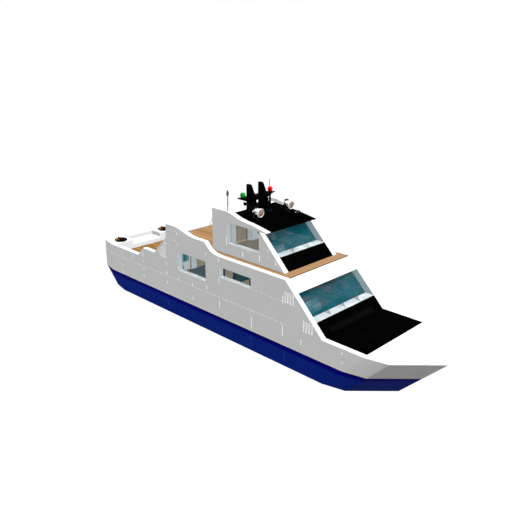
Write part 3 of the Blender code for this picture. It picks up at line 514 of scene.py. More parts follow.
class Shape:
    """A piece under construction. Each solid added takes the finish that is in use."""

    def __init__(self, name, finish_name):
        self.name = name
        self.bm = bmesh.new()
        self.finishes = []
        self.use(finish_name)

    def use(self, finish_name):
        if finish_name not in self.finishes:
            self.finishes.append(finish_name)
        self.index = self.finishes.index(finish_name)
        return self

    def absorb(self, bm):
        """Takes in a drawn solid, smooth but for its sharp edges."""
        for face in bm.faces:
            face.smooth = True
        for edge in bm.edges:
            edge.smooth = edge.smooth and len(edge.link_faces) == 2 and edge.calc_face_angle(0) < SHARP
        mesh = bpy.data.meshes.new("solid")
        bm.to_mesh(mesh)
        bm.free()
        self.bm.from_mesh(mesh)
        bpy.data.meshes.remove(mesh)
        return self

    def take(self, bm, bevel=0.0, segments=2, turn=None, recalc=True):
        """Adds a closed solid drawn in its own bmesh."""
        if turn is not None:
            bmesh.ops.transform(bm, matrix=turn, verts=bm.verts)
        if recalc:
            bmesh.ops.recalc_face_normals(bm, faces=bm.faces)
        if bevel:
            rounded(bm, hard_edges(bm.edges), bevel, segments)
        for face in bm.faces:
            face.material_index = self.index
        return self.absorb(bm)

    def block(self, low, high, bevel=0.004, segments=2, turn=None):
        bm = bmesh.new()
        bmesh.ops.create_cube(bm, size=1.0)
        low, high = Vector(low), Vector(high)
        bmesh.ops.scale(bm, vec=high - low, verts=bm.verts)
        bmesh.ops.translate(bm, vec=(low + high) / 2, verts=bm.verts)
        return self.take(bm, bevel, segments, turn)

    def surround(self, near, far, light, rim):
        """Four bars round an opening of the y and z limits in light, between two x."""
        y0, y1, z0, z1 = light
        self.block((near, y0 - rim, z0 - rim), (far, y1 + rim, z0), 0.001)
        self.block((near, y0 - rim, z1), (far, y1 + rim, z1 + rim), 0.001)
        self.block((near, y0 - rim, z0), (far, y0, z1), 0.001)
        self.block((near, y1, z0), (far, y1 + rim, z1), 0.001)

    def prism(self, points, low, high, axis, bevel=0.004, segments=2):
        """A flat outline given thickness; points are (y, z), (x, z) or (x, y) for axis X, Y or Z."""
        bm = bmesh.new()
        near, far = [
            [bm.verts.new(AXES[axis] @ Vector((*spot, 0)) + self.along(axis, distance)) for spot in points]
            for distance in (low, high)
        ]
        bm.faces.new(near)
        bm.faces.new(list(reversed(far)))
        for at in range(len(points)):
            after = (at + 1) % len(points)
            bm.faces.new((near[after], near[at], far[at], far[after]))
        return self.take(bm, bevel, segments)

    @staticmethod
    def along(axis, distance):
        return Vector([distance if axis == letter else 0 for letter in "XYZ"])

    def lathe(self, shape, foot, axis="Z", sides=28):
        """A round solid from pairs of distance along the axis and radius; a zero radius closes it."""
        bm = bmesh.new()
        rings = []
        for along, radius in shape:
            ring = []
            for step in range(1 if radius == 0 else sides):
                angle = 2 * pi * step / sides
                spot = Vector((radius * cos(angle), radius * sin(angle), along))
                ring.append(bm.verts.new(AXES[axis] @ spot + Vector(foot)))
            rings.append(ring)
        for lower, upper in zip(rings, rings[1:]):
            for step in range(sides):
                after = (step + 1) % sides
                corners = [lower[step % len(lower)], lower[after % len(lower)]]
                corners += [upper[after % len(upper)], upper[step % len(upper)]]
                corners = list(dict.fromkeys(corners))
                if len(corners) > 2:
                    bm.faces.new(corners)
        for ring in (rings[0], rings[-1]):
            if len(ring) > 1:
                bm.faces.new(ring)
        return self.take(bm)

    def rod(self, start, end, radius, end_radius=None, sides=14):
        start, end = Vector(start), Vector(end)
        bm = bmesh.new()
        bmesh.ops.create_cone(
            bm,
            cap_ends=True,
            segments=sides,
            radius1=radius,
            radius2=radius if end_radius is None else end_radius,
            depth=(end - start).length,
        )
        lean = Vector((0, 0, 1)).rotation_difference(end - start).to_matrix().to_4x4()
        return self.take(bm, turn=Matrix.Translation((start + end) / 2) @ lean)

    def ring(self, centre, radius, thickness, axis="Z", sides=32):
        """A torus."""
        bm = bmesh.new()
        section = 10
        loops = []
        for step in range(sides):
            angle = 2 * pi * step / sides
            loop = []
            for part in range(section):
                turn = 2 * pi * part / section
                reach = radius + thickness * cos(turn)
                spot = Vector((reach * cos(angle), reach * sin(angle), thickness * sin(turn)))
                loop.append(bm.verts.new(AXES[axis] @ spot + Vector(centre)))
            loops.append(loop)
        for step in range(sides):
            here, after = loops[step], loops[(step + 1) % sides]
            for part in range(section):
                nxt = (part + 1) % section
                bm.faces.new((here[part], after[part], after[nxt], here[nxt]))
        return self.take(bm)

    def node(self, name, wide, fine=0.006, is_fine=None, segments=3, lined=None, lined_finish=None):
        """Adds a merged copy of a solid node with its edges rounded, some of them only finely."""
        bm = bmesh.new()
        bm.from_mesh(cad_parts[name].data)
        bmesh.ops.remove_doubles(bm, verts=bm.verts, dist=0.00001)
        bmesh.ops.dissolve_limit(bm, angle_limit=radians(0.5), verts=bm.verts, edges=bm.edges)
        marks = bm.edges.layers.int.new("wide")
        for edge in bm.edges:
            rise = abs((edge.verts[1].co - edge.verts[0].co).normalized().z)
            edge.smooth = not (rise > 0.3 and FACET < edge.calc_face_angle(0) <= SHARP)
        small = []
        for edge in hard_edges(bm.edges):
            if is_fine and is_fine((edge.verts[0].co + edge.verts[1].co) / 2):
                small.append(edge)
            else:
                edge[marks] = 1
        if small and fine:
            rounded(bm, small, fine, 2)
        large = hard_edges([e for e in bm.edges if e[marks]], radians(20))
        if large and wide:
            rounded(bm, large, wide, segments)
        for face in bm.faces:
            face.material_index = self.index
        if lined:
            self.use(lined_finish)
            for face in bm.faces:
                if lined(face.calc_center_median(), face.normal):
                    face.material_index = self.index
        return self.absorb(bm)

    def done(self, body="hull", slot=None, replaces=(), weighted=True):
        mesh = bpy.data.meshes.new(self.name)
        bmesh.ops.triangulate(self.bm, faces=[f for f in self.bm.faces if len(f.verts) > 4])
        self.bm.to_mesh(mesh)
        self.bm.free()
        for name in self.finishes:
            mesh.materials.append(finish(name))
        if weighted:
            mesh = changed(self.name, mesh, "WEIGHTED_NORMAL", {"keep_sharp": True, "weight": 100})
        mesh.name = self.name
        return placed(self.name, mesh, body, replaces)


def shell(node, finish_name, slot, *edges, ending="shell", **lining):
    """The piece that takes a solid node's place: its own form, with its edges rounded."""
    piece = Shape(f"{node}_{ending}", finish_name)
    piece.node(node, *edges, **lining)
    piece.done(slot=slot, replaces=[node])


# Geometry Nodes trees for what repeats or follows a line

def new_tree(name, inputs):
    tree = bpy.data.node_groups.new(name, "GeometryNodeTree")
    tree.interface.new_socket("Geometry", in_out="INPUT", socket_type="NodeSocketGeometry")
    for label, kind, value in (*inputs, ("Finish", "Material", None)):
        socket = tree.interface.new_socket(label, in_out="INPUT", socket_type=f"NodeSocket{kind}")
        if value is not None:
            socket.default_value = value
    tree.interface.new_socket("Geometry", in_out="OUTPUT", socket_type="NodeSocketGeometry")
    return tree, add_node(tree, "NodeGroupInput").outputs


def close_tree(tree, geometry, material, smooth=True):
    """Ends a tree with plain shaded faces that carry their finish."""
    real = add_node(tree, "GeometryNodeRealizeInstances", {"Geometry": geometry}).outputs[0]
    real = add_node(tree, "GeometryNodeSetShadeSmooth", {"Geometry": real, "Shade Smooth": smooth}).outputs[0]
    real = add_node(tree, "GeometryNodeSetMaterial", {"Geometry": real, "Material": material}).outputs[0]
    add_node(tree, "NodeGroupOutput", {"Geometry": real})
    return tree


def tube_tree():
    """A round bar along every line of the mesh."""
    tree, given = new_tree("bars_on_lines", [("Radius", "Float", 0.01), ("Sides", "Int", 8)])
    line = add_node(tree, "GeometryNodeMeshToCurve", {"Mesh": given["Geometry"]}).outputs["Curve"]
    sizes = {"Resolution": given["Sides"], "Radius": given["Radius"]}
    section = add_node(tree, "GeometryNodeCurvePrimitiveCircle", sizes).outputs["Curve"]
    parts = {"Curve": line, "Profile Curve": section, "Fill Caps": True}
    bar = add_node(tree, "GeometryNodeCurveToMesh", parts).outputs["Mesh"]
    return close_tree(tree, bar, given["Finish"])


def strip_tree():
    """A flat strip along every line of the mesh, with its width level and its depth upright."""
    tree, given = new_tree("strips_on_lines", [("Width", "Float", 0.1), ("Depth", "Float", 0.01)])
    line = add_node(tree, "GeometryNodeMeshToCurve", {"Mesh": given["Geometry"]}).outputs["Curve"]
    level = add_node(tree, "GeometryNodeSetCurveNormal", {"Curve": line}, mode="Z_UP").outputs["Curve"]
    sizes = {"Width": given["Width"], "Height": given["Depth"]}
    section = add_node(tree, "GeometryNodeCurvePrimitiveQuadrilateral", sizes).outputs["Curve"]
    eased = add_node(tree, "GeometryNodeFilletCurve", {"Curve": section, "Radius": 0.003}).outputs["Curve"]
    parts = {"Curve": level, "Profile Curve": eased, "Fill Caps": True}
    bar = add_node(tree, "GeometryNodeCurveToMesh", parts).outputs["Mesh"]
    return close_tree(tree, bar, given["Finish"], smooth=False)


def fastener_tree():
    """A low round head on every point, facing along the point's stored direction."""
    sizes = [("Radius", "Float", 0.012), ("Height", "Float", 0.004), ("Sides", "Int", 10)]
    tree, given = new_tree("heads_on_points", sizes)
    stored = add_node(tree, "GeometryNodeInputNamedAttribute", {"Name": "facing"}, data_type="FLOAT_VECTOR")
    way = {"Vector": stored.outputs["Attribute"]}
    turn = add_node(tree, "FunctionNodeAlignRotationToVector", way, axis="Z").outputs["Rotation"]
    top = add_node(tree, "ShaderNodeMath", {0: given["Radius"], 1: 0.6}, operation="MULTIPLY").outputs[0]
    form = {"Vertices": given["Sides"], "Radius Top": top, "Radius Bottom": given["Radius"]}
    head = add_node(tree, "GeometryNodeMeshCone", {**form, "Depth": given["Height"]}).outputs["Mesh"]
    parts = {"Points": given["Geometry"], "Instance": head, "Rotation": turn}
    heads = add_node(tree, "GeometryNodeInstanceOnPoints", parts).outputs["Instances"]
    return close_tree(tree, heads, given["Finish"], smooth=False)


MAKERS = {"tube": tube_tree, "strip": strip_tree, "fastener": fastener_tree}
TREES = {}


def grown(kind, name, lines, finish_name, body="hull", slot=None, facing=None, **sizes):
    """Runs a tree on lines, or on single points, and keeps the result as one plain mesh."""
    verts, edges = [], []
    for line in lines:
        start = len(verts)
        verts += [tuple(point) for point in line]
        edges += [(start + at, start + at + 1) for at in range(len(line) - 1)]
    mesh = bpy.data.meshes.new(name)
    mesh.from_pydata(verts, edges, [])
    if facing:
        stored = mesh.attributes.new("facing", "FLOAT_VECTOR", "POINT")
        for item, direction in zip(stored.data, facing):
            item.vector = direction
    if kind not in TREES:
        TREES[kind] = MAKERS[kind]()
    tree = TREES[kind]
    sockets = {s.name: s.identifier for s in tree.interface.items_tree if s.in_out == "INPUT"}
    inputs = {sockets[label.title()]: value for label, value in sizes.items()}
    inputs[sockets["Finish"]] = finish(finish_name)
    mesh = changed(name, mesh, "NODES", {"node_group": tree, **inputs})
    return placed(name, mesh, body, ())


# Sizes and colours that a user would change

def a_colour(name, code, description):
    return bpy.props.FloatVectorProperty(
        name=name, description=description, subtype="COLOR", default=linear_colour(code)
    )


def a_length(name, default, least, most, description):
    return bpy.props.FloatProperty(
        name=name,
        description=description,
        subtype="DISTANCE",
        unit="LENGTH",
        default=default,
        min=least,
        max=most,
    )


def a_cover(name, default, description):
    return bpy.props.FloatProperty(
        name=name, description=description, subtype="FACTOR", default=default, min=0.0, max=1.0
    )


class HouseboatPaint(bpy.types.PropertyGroup):
    white: a_colour("Gelcoat", "FAFBFB", "Colour of the white gelcoat")
    navy: a_colour("Antifouling", "0A2B92", "Colour of the hull below the boot line")
    # This darker blue is painted shade under the boot line
    boot_band: a_colour("Painted Shade Band", "000084", "Darker blue of the band just below the boot line")
    # This cream is a painted glow along the boot line
    tide_mark: a_colour("Painted Boot Glow", "FFFBE6", "Cream stain on the gelcoat just above the boot line")
    black: a_colour("Black", "030303", "Colour of the black deck, roof and mast paint")
    edge_radius: a_length("Edge Radius", 0.03, 0.0, 0.06, "Radius of the moulded edges of the walls")
    joint_width: a_length("Joint Strip", 0.050, 0.02, 0.10, "Width of the strips over the panel joints")


class HouseboatDeck(bpy.types.PropertyGroup):
    plank_pitch: a_length("Plank Pitch", 0.1233, 0.05, 0.3, "Distance from one deck plank to the next")
    caulk_width: a_length("Caulk Width", 0.008, 0.002, 0.03, "Width of the caulked gap between planks")
    teak_light: a_colour("Teak, Light", "B88E62", "Lighter tone of the upper deck's teak")
    teak_dark: a_colour("Teak, Dark", "93693C", "Darker tone of the upper deck's teak")
    cross_light: a_colour("Cross-Laid Teak, Light", "B08A64", "Lighter tone of the cross-laid planks")
    cross_dark: a_colour("Cross-Laid Teak, Dark", "987048", "Darker tone of the cross-laid planks")
    # These tones are darker than the upper deck's, as painted shade of the cockpit well
    cockpit_light: a_colour("Cockpit Teak, Light", "A67936", "Lighter tone of the cockpit's teak")
    cockpit_dark: a_colour("Cockpit Teak, Dark", "7D531B", "Darker tone of the cockpit's teak")


class HouseboatGlass(bpy.types.PropertyGroup):
    front_tint: a_colour("Windshield Tint", "005867", "Colour of the raked windshields")
    front_cover: a_cover("Windshield Cover", 0.68, "Share of what lies behind that the windshields hide")
    deep_cover: a_cover("Deep Tint Cover", 0.90, "Share of what lies behind that doors and port panes hide")
    side_tint: a_colour("Window Tint", "9FC4CC", "Colour of the side windows")
    side_cover: a_cover("Window Cover", 0.05, "Share of what lies behind that the side windows hide")


class HouseboatCabin(bpy.types.PropertyGroup):
    lining: a_colour("Lining", "D9E5EA", "Colour of the lining boards and window reveals")
    veneer: a_colour("Veneer", "A89F88", "Colour of the brown veneered boards")
    carpet: a_colour("Carpet", "263A43", "Colour of the saloon carpet")
    upholstery: a_colour("Upholstery", "F0404C", "Colour of the settee")
    upholstery_ground: a_colour("Upholstery Ground", "3C4448", "Colour between the fabric's red squiggles")


class HouseboatStage(bpy.types.PropertyGroup):
    sky: bpy.props.FloatProperty(
        name="Light Dome",
        description="Brightness of the white dome that lights the boat",
        default=1.0,
        min=0.0,
        max=5.0,
    )
    floor: a_colour("Floor", "FCFCFC", "Colour of the pale floor")
    lens: bpy.props.FloatProperty(
        name="Lens",
        description="Focal length of the camera in millimetres",
        subtype="DISTANCE_CAMERA",
        unit="CAMERA",
        default=43.09,
        min=10.0,
        max=200.0,
    )


# Places measured on the starboard side: x, and the z ranges where the joint's bead shows
UPRIGHT_JOINTS = (
    (-9.15, ((1.15, 1.28), (1.62, 1.72), (2.06, 2.12), (2.43, 2.53))),
    (-8.00, ((2.46, 2.59),)),
    (-6.93, ((1.53, 1.62), (1.95, 2.04), (2.46, 2.55), (2.75, 3.03))),
    (-4.71, ((1.12, 1.24), (1.71, 1.86), (2.27, 2.42), (2.84, 2.99), (4.01, 4.16))),
    (-3.665, ((2.23, 2.38), (2.83, 3.03), (3.53, 3.62), (4.15, 4.29), (4.77, 4.92))),
    (-2.50, ((1.37, 1.60), (2.16, 2.37))),
    (-1.345, ((2.30, 2.56), (4.18, 4.34))),
    (-0.365, ((1.61, 2.00), (2.90, 3.25), (4.10, 4.28))),
    (1.955, ((1.18, 1.83),)),
    (4.00, ((1.54, 2.09), (3.12, 3.58))),
    (5.145, ((1.50, 1.78),)),
    (7.46, ((1.44, 1.53), (1.87, 2.00))),
)
LEVEL_JOINTS = (
    (-10.10, 4.15, 2.185),
    (-4.53, -2.87, 4.99),
    (-4.49, -3.70, 4.40),
    (1.97, 4.00, 3.30),
    (4.72, 5.06, 3.26),
)
CABIN_UPRIGHTS = (
    (-0.345, 4.85, 5.34),
    (0.81, 4.43, 4.76),
    (1.955, 4.42, 4.90),
    (2.51, 5.16, 5.30),
    (3.03, 4.64, 4.87),
)
CABIN_LEVELS = ((-0.23, 0.44, 6.33), (1.99, 2.26, 5.49), (2.51, 2.83, 4.93))
NAVY_JOINTS = (
    (-8.0, 0.55, 0.66),
    (-4.71, 0.40, 0.62),
    (-2.5, 0.30, 0.72),
    (1.93, 0.22, 0.86),
    (4.14, 0.25, 0.80),
)
# Windows by x and z ranges, and the upright bars of the low window by x
WINDOWS = {
    "aft_window": (-3.615, -1.395, 2.77, 3.85),
    "low_window": (-0.315, 1.905, 3.30, 3.84),
    "upper_window": (-0.295, 1.925, 4.97, 6.05),
}
SLIDING_BARS = ((-0.300, -0.205), (0.405, 0.490), (1.570, 1.660))
# Lower after corners of the square vents
VENTS = ((4.055, 3.27), (5.195, 2.20))
VENT_SIZE = (0.65, 0.54)
# Painted shadows on the sills: height of each plate and its corners seen from above
SILL_SHADOWS = (
    (2.705, ((5.253, -1.036), (5.303, -0.715), (5.695, -1.042))),
    (2.705, ((5.221, 0.133), (5.294, 0.396), (5.715, 0.061))),
    (2.705, ((5.212, 1.195), (5.263, 1.598), (5.718, 1.155))),
    (4.950, ((2.480, -0.372), (2.499, -0.064), (3.005, -0.640))),
    (4.950, ((2.664, 0.689), (2.619, 0.845), (3.005, 0.387))),
)
# The stepped vent on the after wing: x range, foot, and z less x along its sloping head
WING_VENT = (-5.33, -4.71, 3.22)
WING_SLOPE = -9.115
SLOT_MARGIN = 0.14
VENT_SLOTS = 4
SLOT_SHARE = 0.55


# Hull and shell

DASH, DASH_GAP = 0.12, 0.19


def dashes(x0, x1, y, z):
    """Short level lines one after another between two x."""
    step = DASH + DASH_GAP
    count = max(1, int((x1 - x0 + DASH_GAP) / step))
    return [[(x0 + step * at, y, z), (x0 + step * at + DASH, y, z)] for at in range(count)]


def uprights_at(y, rows):
    return [[(x, y, low), (x, y, high)] for x, low, high in rows]


def cover_strips(name, uprights, levels, finish_name, slot):
    """Flat strips let half into the wall over its joints, the level ones narrower."""
    wide = setting("paint.joint_width")
    grown("strip", name, uprights, finish_name, slot=slot, width=wide, depth=0.008)
    if levels:
        grown("strip", f"{name}_level", levels, finish_name, slot=slot, width=0.008, depth=wide * 0.55)


class HOUSEBOAT_OT_hull(bpy.types.Operator):
    """Hull above and below the boot line, with the strips over its plate joints"""

    bl_idname = "houseboat.hull"
    bl_label = "Hull"

    def execute(self, context):
        shell("hull_underbody", "antifouling", "navy_paint", 0.02, 0.004, lambda spot: spot.z > BOOT_Z - 0.01)
        shell("hull_topsides", "gelcoat", "white_paint", 0.014, 0.004, lambda spot: spot.z < DECK_Z - 0.02)
        lines = [line for side in SIDES for line in uprights_at(side * HALF_BEAM, NAVY_JOINTS)]
        # The navy strips are painted lighter, as a highlight along each joint
        cover_strips("underbody_joint_strips", lines, [], "navy seam highlight", "navy_paint")
        return {"FINISHED"}


def in_window(spot, window):
    x0, x1, z0, z1 = window
    return x0 - 0.01 < spot.x < x1 + 0.01 and z0 - 0.01 < spot.z < z1 + 0.01


def is_opening_edge(spot):
    """True on the small edges of a wall: round its windows and vents, and where it stands."""
    if spot.z < DECK_Z + 0.02 or any(in_window(spot, window) for window in WINDOWS.values()):
        return True
    for x0, z0 in VENTS:
        if x0 < spot.x < x0 + VENT_SIZE[0] and z0 - 0.01 < spot.z < z0 + VENT_SIZE[1] + 0.01:
            return True
    x0, x1, base = WING_VENT
    return x0 < spot.x < x1 and base - 0.01 < spot.z < spot.x - WING_SLOPE - SLOT_MARGIN / 2


class HOUSEBOAT_OT_side_walls(bpy.types.Operator):
    """Side walls with rounded edges, lining boards inside, and the beads over their joints"""

    bl_idname = "houseboat.side_walls"
    bl_label = "Side Walls"

    def execute(self, context):
        for side in SIDES:
            name = side_name("side_wall", side)
            shell(name, "gelcoat", "white_paint", setting("paint.edge_radius"), 0.006, is_opening_edge)
        self.linings()
        rows = [(x, *span) for x, spans in UPRIGHT_JOINTS for span in spans]
        uprights, levels = [], []
        for side in SIDES:
            y = side * HALF_BEAM
            uprights += uprights_at(y, rows)
            for x0, x1, z in LEVEL_JOINTS:
                levels += dashes(x0, x1, y, z)
        cover_strips("side_joint_strips", uprights, levels, "polished", "stainless_steel")
        return {"FINISHED"}

    def linings(self):
        """Boards on the inner face of each wall, with the window openings left clear."""
        foot, head = DECK_Z + 0.03, 4.13
        boards = (
            (-4.58, -3.63, foot, head),
            (-3.628, -1.382, foot, 2.755),
            (-3.628, -1.382, 3.865, head),
            (-1.38, -0.63, foot, head),
            (-0.505, -0.33, foot, head),
            (-0.328, 1.918, foot, 3.285),
            (-0.328, 1.918, 3.855, head),
        )
        rake, corner = FRONT - 0.62, 2.72
        fore = [(1.92, foot), (rake - corner, foot), (rake - corner, corner)]
        fore += [(rake - head, head), (1.92, head)]
        for side in SIDES:
            board = Shape(side_name("saloon_lining", side), "lining")
            low, high = band(side, WALL_IN - 0.012, WALL_IN - 0.001)
            for x0, x1, z0, z1 in boards:
                board.block((x0, low, z0), (x1, high, z1), 0.003)
            board.prism(fore, low, high, "Y", 0.003)
            board.done(slot="pale_panel")


class HOUSEBOAT_OT_vents(bpy.types.Operator):
    """Louvre slats and rims in the vents of the side walls"""

    bl_idname = "houseboat.vents"
    bl_label = "Vents"

    def execute(self, context):
        rims, slats = [], []
        for side in SIDES:
            face = side * (HALF_BEAM - 0.004)
            deep = side * (HALF_BEAM - 0.055)
            for x0, x1, base, tops in self.rows():
                pitch = (x1 - x0) / VENT_SLOTS
                half = pitch * SLOT_SHARE / 2
                for number, top in enumerate(tops):
                    middle = x0 + pitch * (number + 0.5)
                    left, right = middle - half, middle + half
                    rim = [(left, face, top), (left, face, base), (right, face, base), (right, face, top)]
                    rims.append(rim)
                    count = max(3, int((top - base) / 0.06))
                    for step in range(count):
                        z = base + (top - base) * (step + 0.5) / count
                        slats.append([(left, deep, z), (right, deep, z)])
        grown("tube", "vent_rims", rims, "polished", slot="stainless_steel", radius=0.009, sides=6)
        grown("strip", "vent_slats", slats, "gelcoat", slot="white_paint", width=0.035, depth=0.008)
        return {"FINISHED"}

    def rows(self):
        width, height = VENT_SIZE
        for x0, z0 in VENTS:
            yield x0, x0 + width, z0, [z0 + height] * VENT_SLOTS
        x0, x1, base = WING_VENT
        pitch = (x1 - x0) / VENT_SLOTS
        yield x0, x1, base, [x0 + pitch * number - WING_SLOPE - SLOT_MARGIN for number in range(VENT_SLOTS)]


class HOUSEBOAT_OT_upper_cabin(bpy.types.Operator):
    """Upper cabin sides with their roof rails, the roof, and the beads over the joints"""

    bl_idname = "houseboat.upper_cabin"
    bl_label = "Upper Cabin"

    def execute(self, context):
        def is_small(spot):
            return spot.z < UPPER_Z or in_window(spot, WINDOWS["upper_window"])

        uprights, levels = [], []
        for side in SIDES:
            name = side_name("cabin_wall", side)
            shell(name, "gelcoat", "white_paint", setting("paint.edge_radius"), 0.006, is_small)
            self.lining(side)
            y = side * CABIN_HALF
            uprights += uprights_at(y, CABIN_UPRIGHTS)
            for x0, x1, z in CABIN_LEVELS:
                levels += dashes(x0, x1, y, z)
        cover_strips("cabin_joint_strips", uprights, levels, "polished", "stainless_steel")
        shell("roof_after", "gelcoat", "white_paint", 0.012, 0.004)
        shell("roof_panel", "nonskid", "black_paint", 0.012, 0.004)
        return {"FINISHED"}

    @staticmethod
    def lining(side):
        board = Shape(side_name("cabin_lining", side), "lining")
        low, high = band(side, CABIN_IN - 0.012, CABIN_IN - 0.001)
        foot, head = UPPER_Z, 6.05
        board.block((-1.28, low, foot), (-0.31, high, head), 0.003)
        board.block((-0.308, low, foot), (1.938, high, 4.955), 0.003)
        board.prism([(1.94, foot), (2.40, foot), (2.40, 5.02), (1.94, 5.48)], low, high, "Y", 0.003)
        board.done(slot="pale_panel")


class HOUSEBOAT_OT_black_panels(bpy.types.Operator):
    """Black non-skid panels on the foredeck and under the upper windshield"""

    bl_idname = "houseboat.black_panels"
    bl_label = "Black Panels"

    def execute(self, context):
        for name in ("foredeck_panel", "upper_front_panel"):
            shell(name, "nonskid", "black_paint", 0.008, 0.003)
        count, low, high = 22, 2.23, 2.42
        ribs = []
        for number in range(count):
            y = -1.64 + number * 3.12 / (count - 1)
            ribs.append([(FRONT + 0.002 - z, y, z) for z in (low, high)])
        grown("tube", "foredeck_grip_ribs", ribs, "plastic", slot="black_paint", radius=0.010, sides=6)
        return {"FINISHED"}


# Decks

END_GAP = 0.004


class HOUSEBOAT_OT_decks(bpy.types.Operator):
    """Teak planks laid in caulk on the upper deck, the cockpit and the engine hatch"""

    bl_idname = "houseboat.decks"
    bl_label = "Teak Decks"

    def execute(self, context):
        shell("upper_deck", "gelcoat", "white_paint", 0.012, 0.004, ending="slab")
        self.upper()
        self.cockpit()
        self.hatch()
        return {"FINISHED"}

    @staticmethod
    def bed(name, node):
        """The node's own solid with its top let down, as the caulk that the planks lie in."""
        bm = bmesh.new()
        bm.from_mesh(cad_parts[node].data)
        bmesh.ops.remove_doubles(bm, verts=bm.verts, dist=0.00001)
        top = max(v.co.z for v in bm.verts)
        for vert in bm.verts:
            if vert.co.z > top - 0.001:
                vert.co.z -= 0.003
        base = Shape(name, "caulk").take(bm, recalc=False)
        base.done(slot="teak", replaces=[node], weighted=False)

    @staticmethod
    def pitched(low, high):
        """The middles of the planks that fill a breadth, and the width of each."""
        count = round((high - low) / setting("deck.plank_pitch"))
        pitch = (high - low) / count
        return [low + pitch * (number + 0.5) for number in range(count)], pitch - setting("deck.caulk_width")

    def upper(self):
        self.bed("upper_deck_caulk", "upper_deck_teak")
        low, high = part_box("upper_deck_teak")
        half, z, depth = high.y, UPPER_Z - 0.006, 0.011
        caulk = setting("deck.caulk_width")
        strip_x = 3.56
        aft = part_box("cabin_wall_port")[0].x
        middles, wide = self.pitched(-half, half)
        lines = []
        for y in middles:
            end = strip_x - END_GAP if abs(y) - wide / 2 > CABIN_HALF else aft - 0.006
            lines.append([(low.x + END_GAP, y, z), (end, y, z)])
        grown("strip", "upper_deck_planks", lines, "upper teak", slot="teak", width=wide, depth=depth)
        edge, pitch = CABIN_HALF + 0.006, wide + caulk
        outer = min(half - pitch * int((half - edge) / pitch), half)
        if outer - edge > 0.02:
            y = (edge + outer - caulk / 2) / 2
            lines = [[(aft, side * y, z), (strip_x - END_GAP, side * y, z)] for side in SIDES]
            wide = outer - edge - caulk / 2
            grown("strip", "upper_deck_margins", lines, "upper teak", slot="teak", width=wide, depth=depth)
        count = 5
        cross = (high.x - END_GAP - strip_x) / count
        lines = []
        for number in range(count):
            x = strip_x + cross * (number + 0.5)
            lines.append([(x, -half + END_GAP, z), (x, half - END_GAP, z)])
        wide = cross - caulk
        grown("strip", "forward_deck_planks", lines, "strip teak", slot="teak", width=wide, depth=depth)

    def cockpit(self):
        self.bed("cockpit_caulk", "cockpit_sole")
        low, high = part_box("cockpit_sole")
        hatch_low, hatch_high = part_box("engine_hatch")
        z = high.z - 0.0055
        start, end = low.x + END_GAP, high.x - END_GAP
        middles, wide = self.pitched(low.y, high.y)
        lines = []
        for y in middles:
            if abs(y) - wide / 2 < hatch_high.y + 0.012:
                lines.append([(start, y, z), (hatch_low.x - 0.03, y, z)])
                lines.append([(hatch_high.x + 0.03, y, z), (end, y, z)])
            else:
                lines.append([(start, y, z), (end, y, z)])
        grown("strip", "cockpit_planks", lines, "cockpit teak", slot="teak", width=wide, depth=0.010)
        rim = 0.018
        aft, fore, half = hatch_low.x - rim, hatch_high.x + rim, hatch_high.y + rim
        ring = [[(aft, y, z), (fore, y, z)] for y in (-half, half)]
        ring += [[(x, -half, z), (x, half, z)] for x in (aft, fore)]
        grown("strip", "hatch_coaming_trim", ring, "cockpit teak", slot="teak", width=0.020, depth=0.010)

    def hatch(self):
        low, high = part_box("engine_hatch")
        lid = Shape("hatch_lid", "caulk")
        lid.block(low, (high.x, high.y, high.z - 0.003), 0.004)
        lid.use("brushed")
        plate = high.z - 0.004
        for y in (-0.6, 0.6):
            lid.block((high.x - 0.16, y - 0.03, plate), (high.x - 0.004, y + 0.03, high.z), 0.0015)
        lid.block((low.x + 0.07, -0.07, plate), (low.x + 0.19, 0.07, high.z), 0.0015)
        lid.ring((low.x + 0.13, 0.0, high.z - 0.001), 0.035, 0.006)
        lid.done("engine_hatch", slot="teak", replaces=["engine_hatch"])
        z = high.z - 0.0065
        middles, wide = self.pitched(low.y, high.y)
        lines = [[(low.x + 0.005, y, z), (high.x - 0.005, y, z)] for y in middles]
        grown("strip", "hatch_planks", lines, "cockpit teak", "engine_hatch", "teak", width=wide, depth=0.010)


# Windows and fronts

